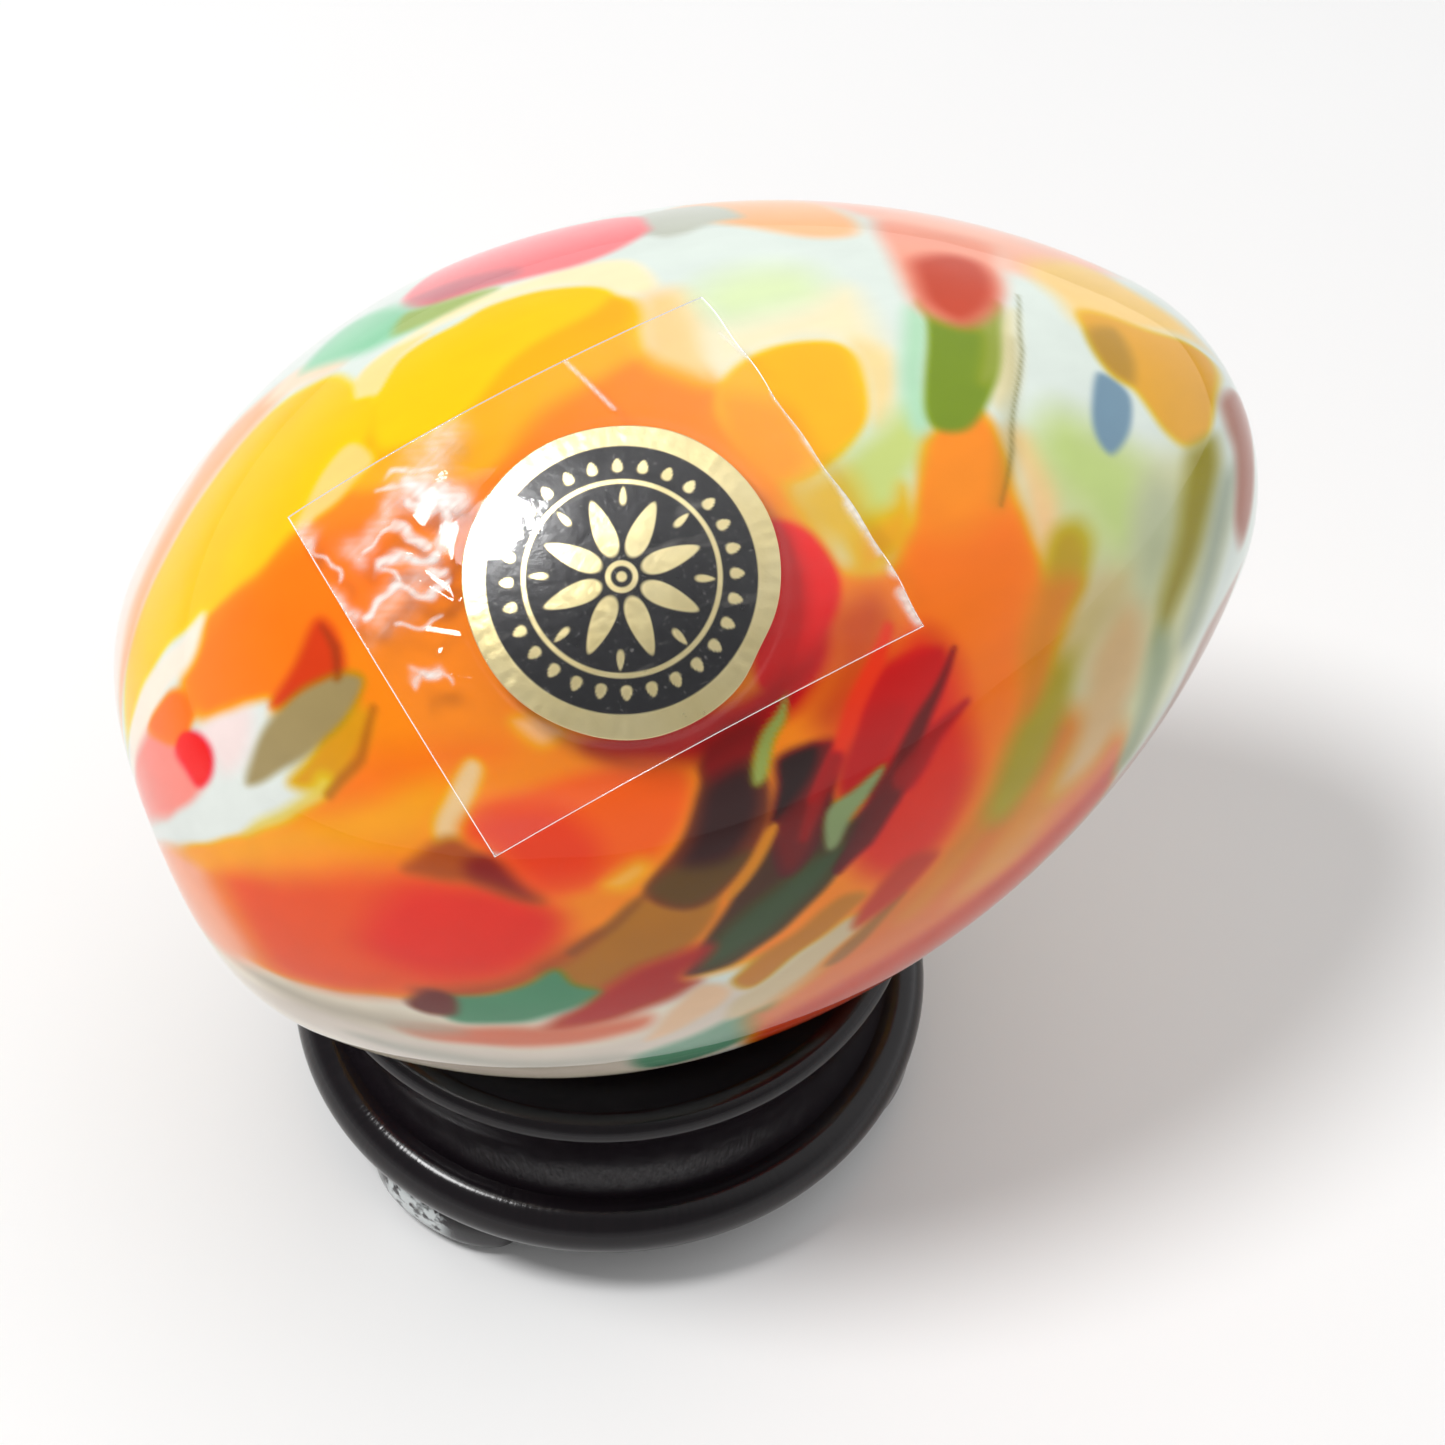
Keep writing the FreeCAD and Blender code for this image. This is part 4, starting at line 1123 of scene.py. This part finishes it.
def tape_material():
    material, output, add, tree = new_material("clear_tape_film")
    cloud, _ = attribute(add, "cloud")
    ripple = stretched_noise(add, 0.5, (1, 1, 1), 4.0)
    bump = add("Bump", Height=ripple, Strength=0.25, Distance=0.00012)
    film = add(
        "BsdfPrincipled", Base_Color=(1, 1, 1, 1), Roughness=0.03, IOR=1.36,
        Transmission_Weight=1.0, Normal=bump.outputs[0],
    )
    film.inputs["Specular IOR Level"].default_value = 0.35
    grain = stretched_noise(add, 2.5, (1, 1, 1), 3.0)
    # Pale diffuse film: the tape's cloudy glue, and glare painted as pale streaks left of the seal.
    glue_and_glare_shader = add("BsdfPrincipled", Base_Color=(0.93, 0.90, 0.86, 1), Roughness=ramp(add, grain, 0.4, 0.7))
    clear = let_lamps_through(add, film.outputs[0])
    mixed = add("MixShader", _0=cloud, _1=clear, _2=glue_and_glare_shader.outputs[0])
    tree.links.new(mixed.outputs[0], output.inputs[0])
    return material


def lacquer_material():
    material, output, add, tree = new_material("black_lacquer_over_turned_wood")
    place = add("TexCoord").outputs["Object"]
    split = add("SeparateXYZ", Vector=place)
    around = add("Math", {"operation": "ARCTAN2"}, _0=split.outputs[1], _1=split.outputs[0])
    fibres = add("CombineXYZ", X=around.outputs[0], Y=split.outputs[2])
    mapped = add("Mapping", Vector=fibres.outputs[0], Scale=(46, 420, 1))
    grain = add("TexNoise", Vector=mapped.outputs[0], Scale=1.6, Detail=5.0).outputs["Fac"]
    tint = mix_colours(add, grain, (0.003, 0.0025, 0.004), (0.010, 0.006, 0.008))
    dust = stretched_noise(add, 0.7, (1, 1, 1), 5.0)
    # Painted reflection: the stored patch, broken up by noise, turns the lacquer pale grey on the front
    # foot's outer face.
    painted_glare_mask, _ = attribute(add, "worn")
    glare_breakup_noise = stretched_noise(add, 1.1, (1, 1, 1), 5.0)
    patchy = add("MapRange", Value=glare_breakup_noise, From_Min=0.40, From_Max=0.52)
    painted_glare_patch = add("Math", {"operation": "MULTIPLY"}, _0=painted_glare_mask, _1=patchy.outputs[0])
    tint = mix_colours(add, painted_glare_patch.outputs[0], tint, (0.62, 0.66, 0.66))
    height = add("Math", {"operation": "MULTIPLY_ADD"}, _0=dust, _1=0.4, _2=grain)
    bump = add("Bump", Height=height.outputs[0], Strength=0.10, Distance=0.0002)
    coat = add(
        "BsdfPrincipled", Base_Color=tint,
        Roughness=ramp(add, dust, 0.08, 0.22), Normal=bump.outputs[0],
    )
    coat.inputs["Specular IOR Level"].default_value = 0.36
    tree.links.new(coat.outputs[0], output.inputs[0])
    return material


def floor_material():
    material, output, add, tree = new_material("pale_floor")
    mottle = stretched_noise(add, 0.02, (1, 1, 1), 3.0)
    tint = mix_colours(add, mottle, (0.90, 0.90, 0.90), (0.93, 0.93, 0.93))
    paper = add("BsdfPrincipled", Base_Color=tint, Roughness=0.7)
    tree.links.new(paper.outputs[0], output.inputs[0])
    return material


only(casing, casing_material())
only(layer, layer_material())
only(label, foil_material())
only(tape, tape_material())
only(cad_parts["opal_core"], core_material())
lacquer = lacquer_material()
only(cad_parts["turned_base"], lacquer)
for foot in feet:
    only(foot, lacquer)

# ---------------------------------------------------------------- floor, light and camera
FLOOR_HALF = 1500.0
FLOOR_TICKS = 5
floor_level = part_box("foot_1")[0].z / MM
ticks = np.linspace(-FLOOR_HALF, FLOOR_HALF, FLOOR_TICKS)
corners = [(x, y, floor_level) for y in ticks for x in ticks]
floor = new_object("floor", corners, sheet_faces(FLOOR_TICKS, FLOOR_TICKS, True))
only(floor, floor_material())

# The room is bright round the horizon and dim overhead (by the sine of the height), with one
# brighter side, as from a large far window (by the cosine of the angle from its middle).
SKY_BRIGHT_TO, SKY_DIM_FROM = 0.02, 0.42
SKY_LOW, SKY_TOP = 0.78, 0.30
WINDOW_SIDE = Vector((0.75, 0.20, 0.62)).normalized()
WINDOW_FROM, WINDOW_TO = 0.3, 1.0
WINDOW_GAIN = 0.7
world = bpy.data.worlds.new("studio")
scene.world = world
world.use_nodes = True
sky = world.node_tree


def sky_fade(source, from_low, from_high, at_low, at_high):
    """A smooth change of brightness over a range of a node's output."""
    fade = sky.nodes.new("ShaderNodeMapRange")
    fade.interpolation_type = "SMOOTHSTEP"
    for index, value in enumerate((from_low, from_high, at_low, at_high), 1):
        fade.inputs[index].default_value = value
    sky.links.new(source, fade.inputs[0])
    return fade.outputs[0]


direction = sky.nodes.new("ShaderNodeTexCoord").outputs["Generated"]
parts = sky.nodes.new("ShaderNodeSeparateXYZ")
facing = sky.nodes.new("ShaderNodeVectorMath")
facing.operation = "DOT_PRODUCT"
facing.inputs[1].default_value = WINDOW_SIDE
sky.links.new(direction, parts.inputs[0])
sky.links.new(direction, facing.inputs[0])
total = sky.nodes.new("ShaderNodeMath")
height_part = sky_fade(parts.outputs[2], SKY_BRIGHT_TO, SKY_DIM_FROM, SKY_LOW, SKY_TOP)
window_part = sky_fade(facing.outputs["Value"], WINDOW_FROM, WINDOW_TO, 0.0, WINDOW_GAIN)
sky.links.new(height_part, total.inputs[0])
sky.links.new(window_part, total.inputs[1])
background = sky.nodes["Background"]
background.inputs[0].default_value = (1, 1, 1, 1)
sky.links.new(total.outputs[0], background.inputs[1])


def add_light(name, toward, distance, size, power, aim):
    """A round soft light, distance mm away from the aim point in a direction."""
    light = bpy.data.lights.new(name, "AREA")
    light.shape = "DISK"
    light.size = size * MM
    light.energy = power
    holder = bpy.data.objects.new(name, light)
    scene.collection.objects.link(holder)
    toward = Vector(toward).normalized()
    holder.location = (Vector(aim) + toward * distance) * MM
    holder.rotation_mode = "QUATERNION"
    holder.rotation_quaternion = toward.to_track_quat("Z", "Y")


KEY_DISTANCE, KEY_SIZE = 650, 190
KEY_WATTS = 2.8
add_light("key_light", (-0.42, 0.08, 0.90), KEY_DISTANCE, KEY_SIZE, KEY_WATTS, EGG_CENTRE)

CAMERA_ELEVATION = math.radians(52.57)
CAMERA_AZIMUTH = math.radians(-19.84)
CAMERA_ROLL = math.radians(0.73)
CAMERA_TARGET = Vector((9.70, 2.69, 29.19))
CAMERA_DISTANCE = 214.17
CAMERA_LENS, CAMERA_SENSOR = 76.1, 36
back = Vector((
    math.sin(CAMERA_AZIMUTH) * math.cos(CAMERA_ELEVATION),
    -math.cos(CAMERA_AZIMUTH) * math.cos(CAMERA_ELEVATION),
    math.sin(CAMERA_ELEVATION),
))
level = Vector((math.cos(CAMERA_AZIMUTH), math.sin(CAMERA_AZIMUTH), 0))
upright = back.cross(level)
right = math.cos(CAMERA_ROLL) * level + math.sin(CAMERA_ROLL) * upright
up = math.cos(CAMERA_ROLL) * upright - math.sin(CAMERA_ROLL) * level
camera_data = bpy.data.cameras.new("camera")
camera_data.lens = CAMERA_LENS
camera_data.sensor_width = CAMERA_SENSOR
camera_data.clip_start = 0.01
camera_data.clip_end = 20
camera = bpy.data.objects.new("camera", camera_data)
scene.collection.objects.link(camera)
camera.rotation_mode = "QUATERNION"
camera.rotation_quaternion = Matrix((right, up, back)).transposed().to_quaternion()
camera.location = (CAMERA_TARGET + back * CAMERA_DISTANCE) * MM
scene.camera = camera
scene.view_settings.view_transform = "Standard"
scene.view_settings.look = "None"
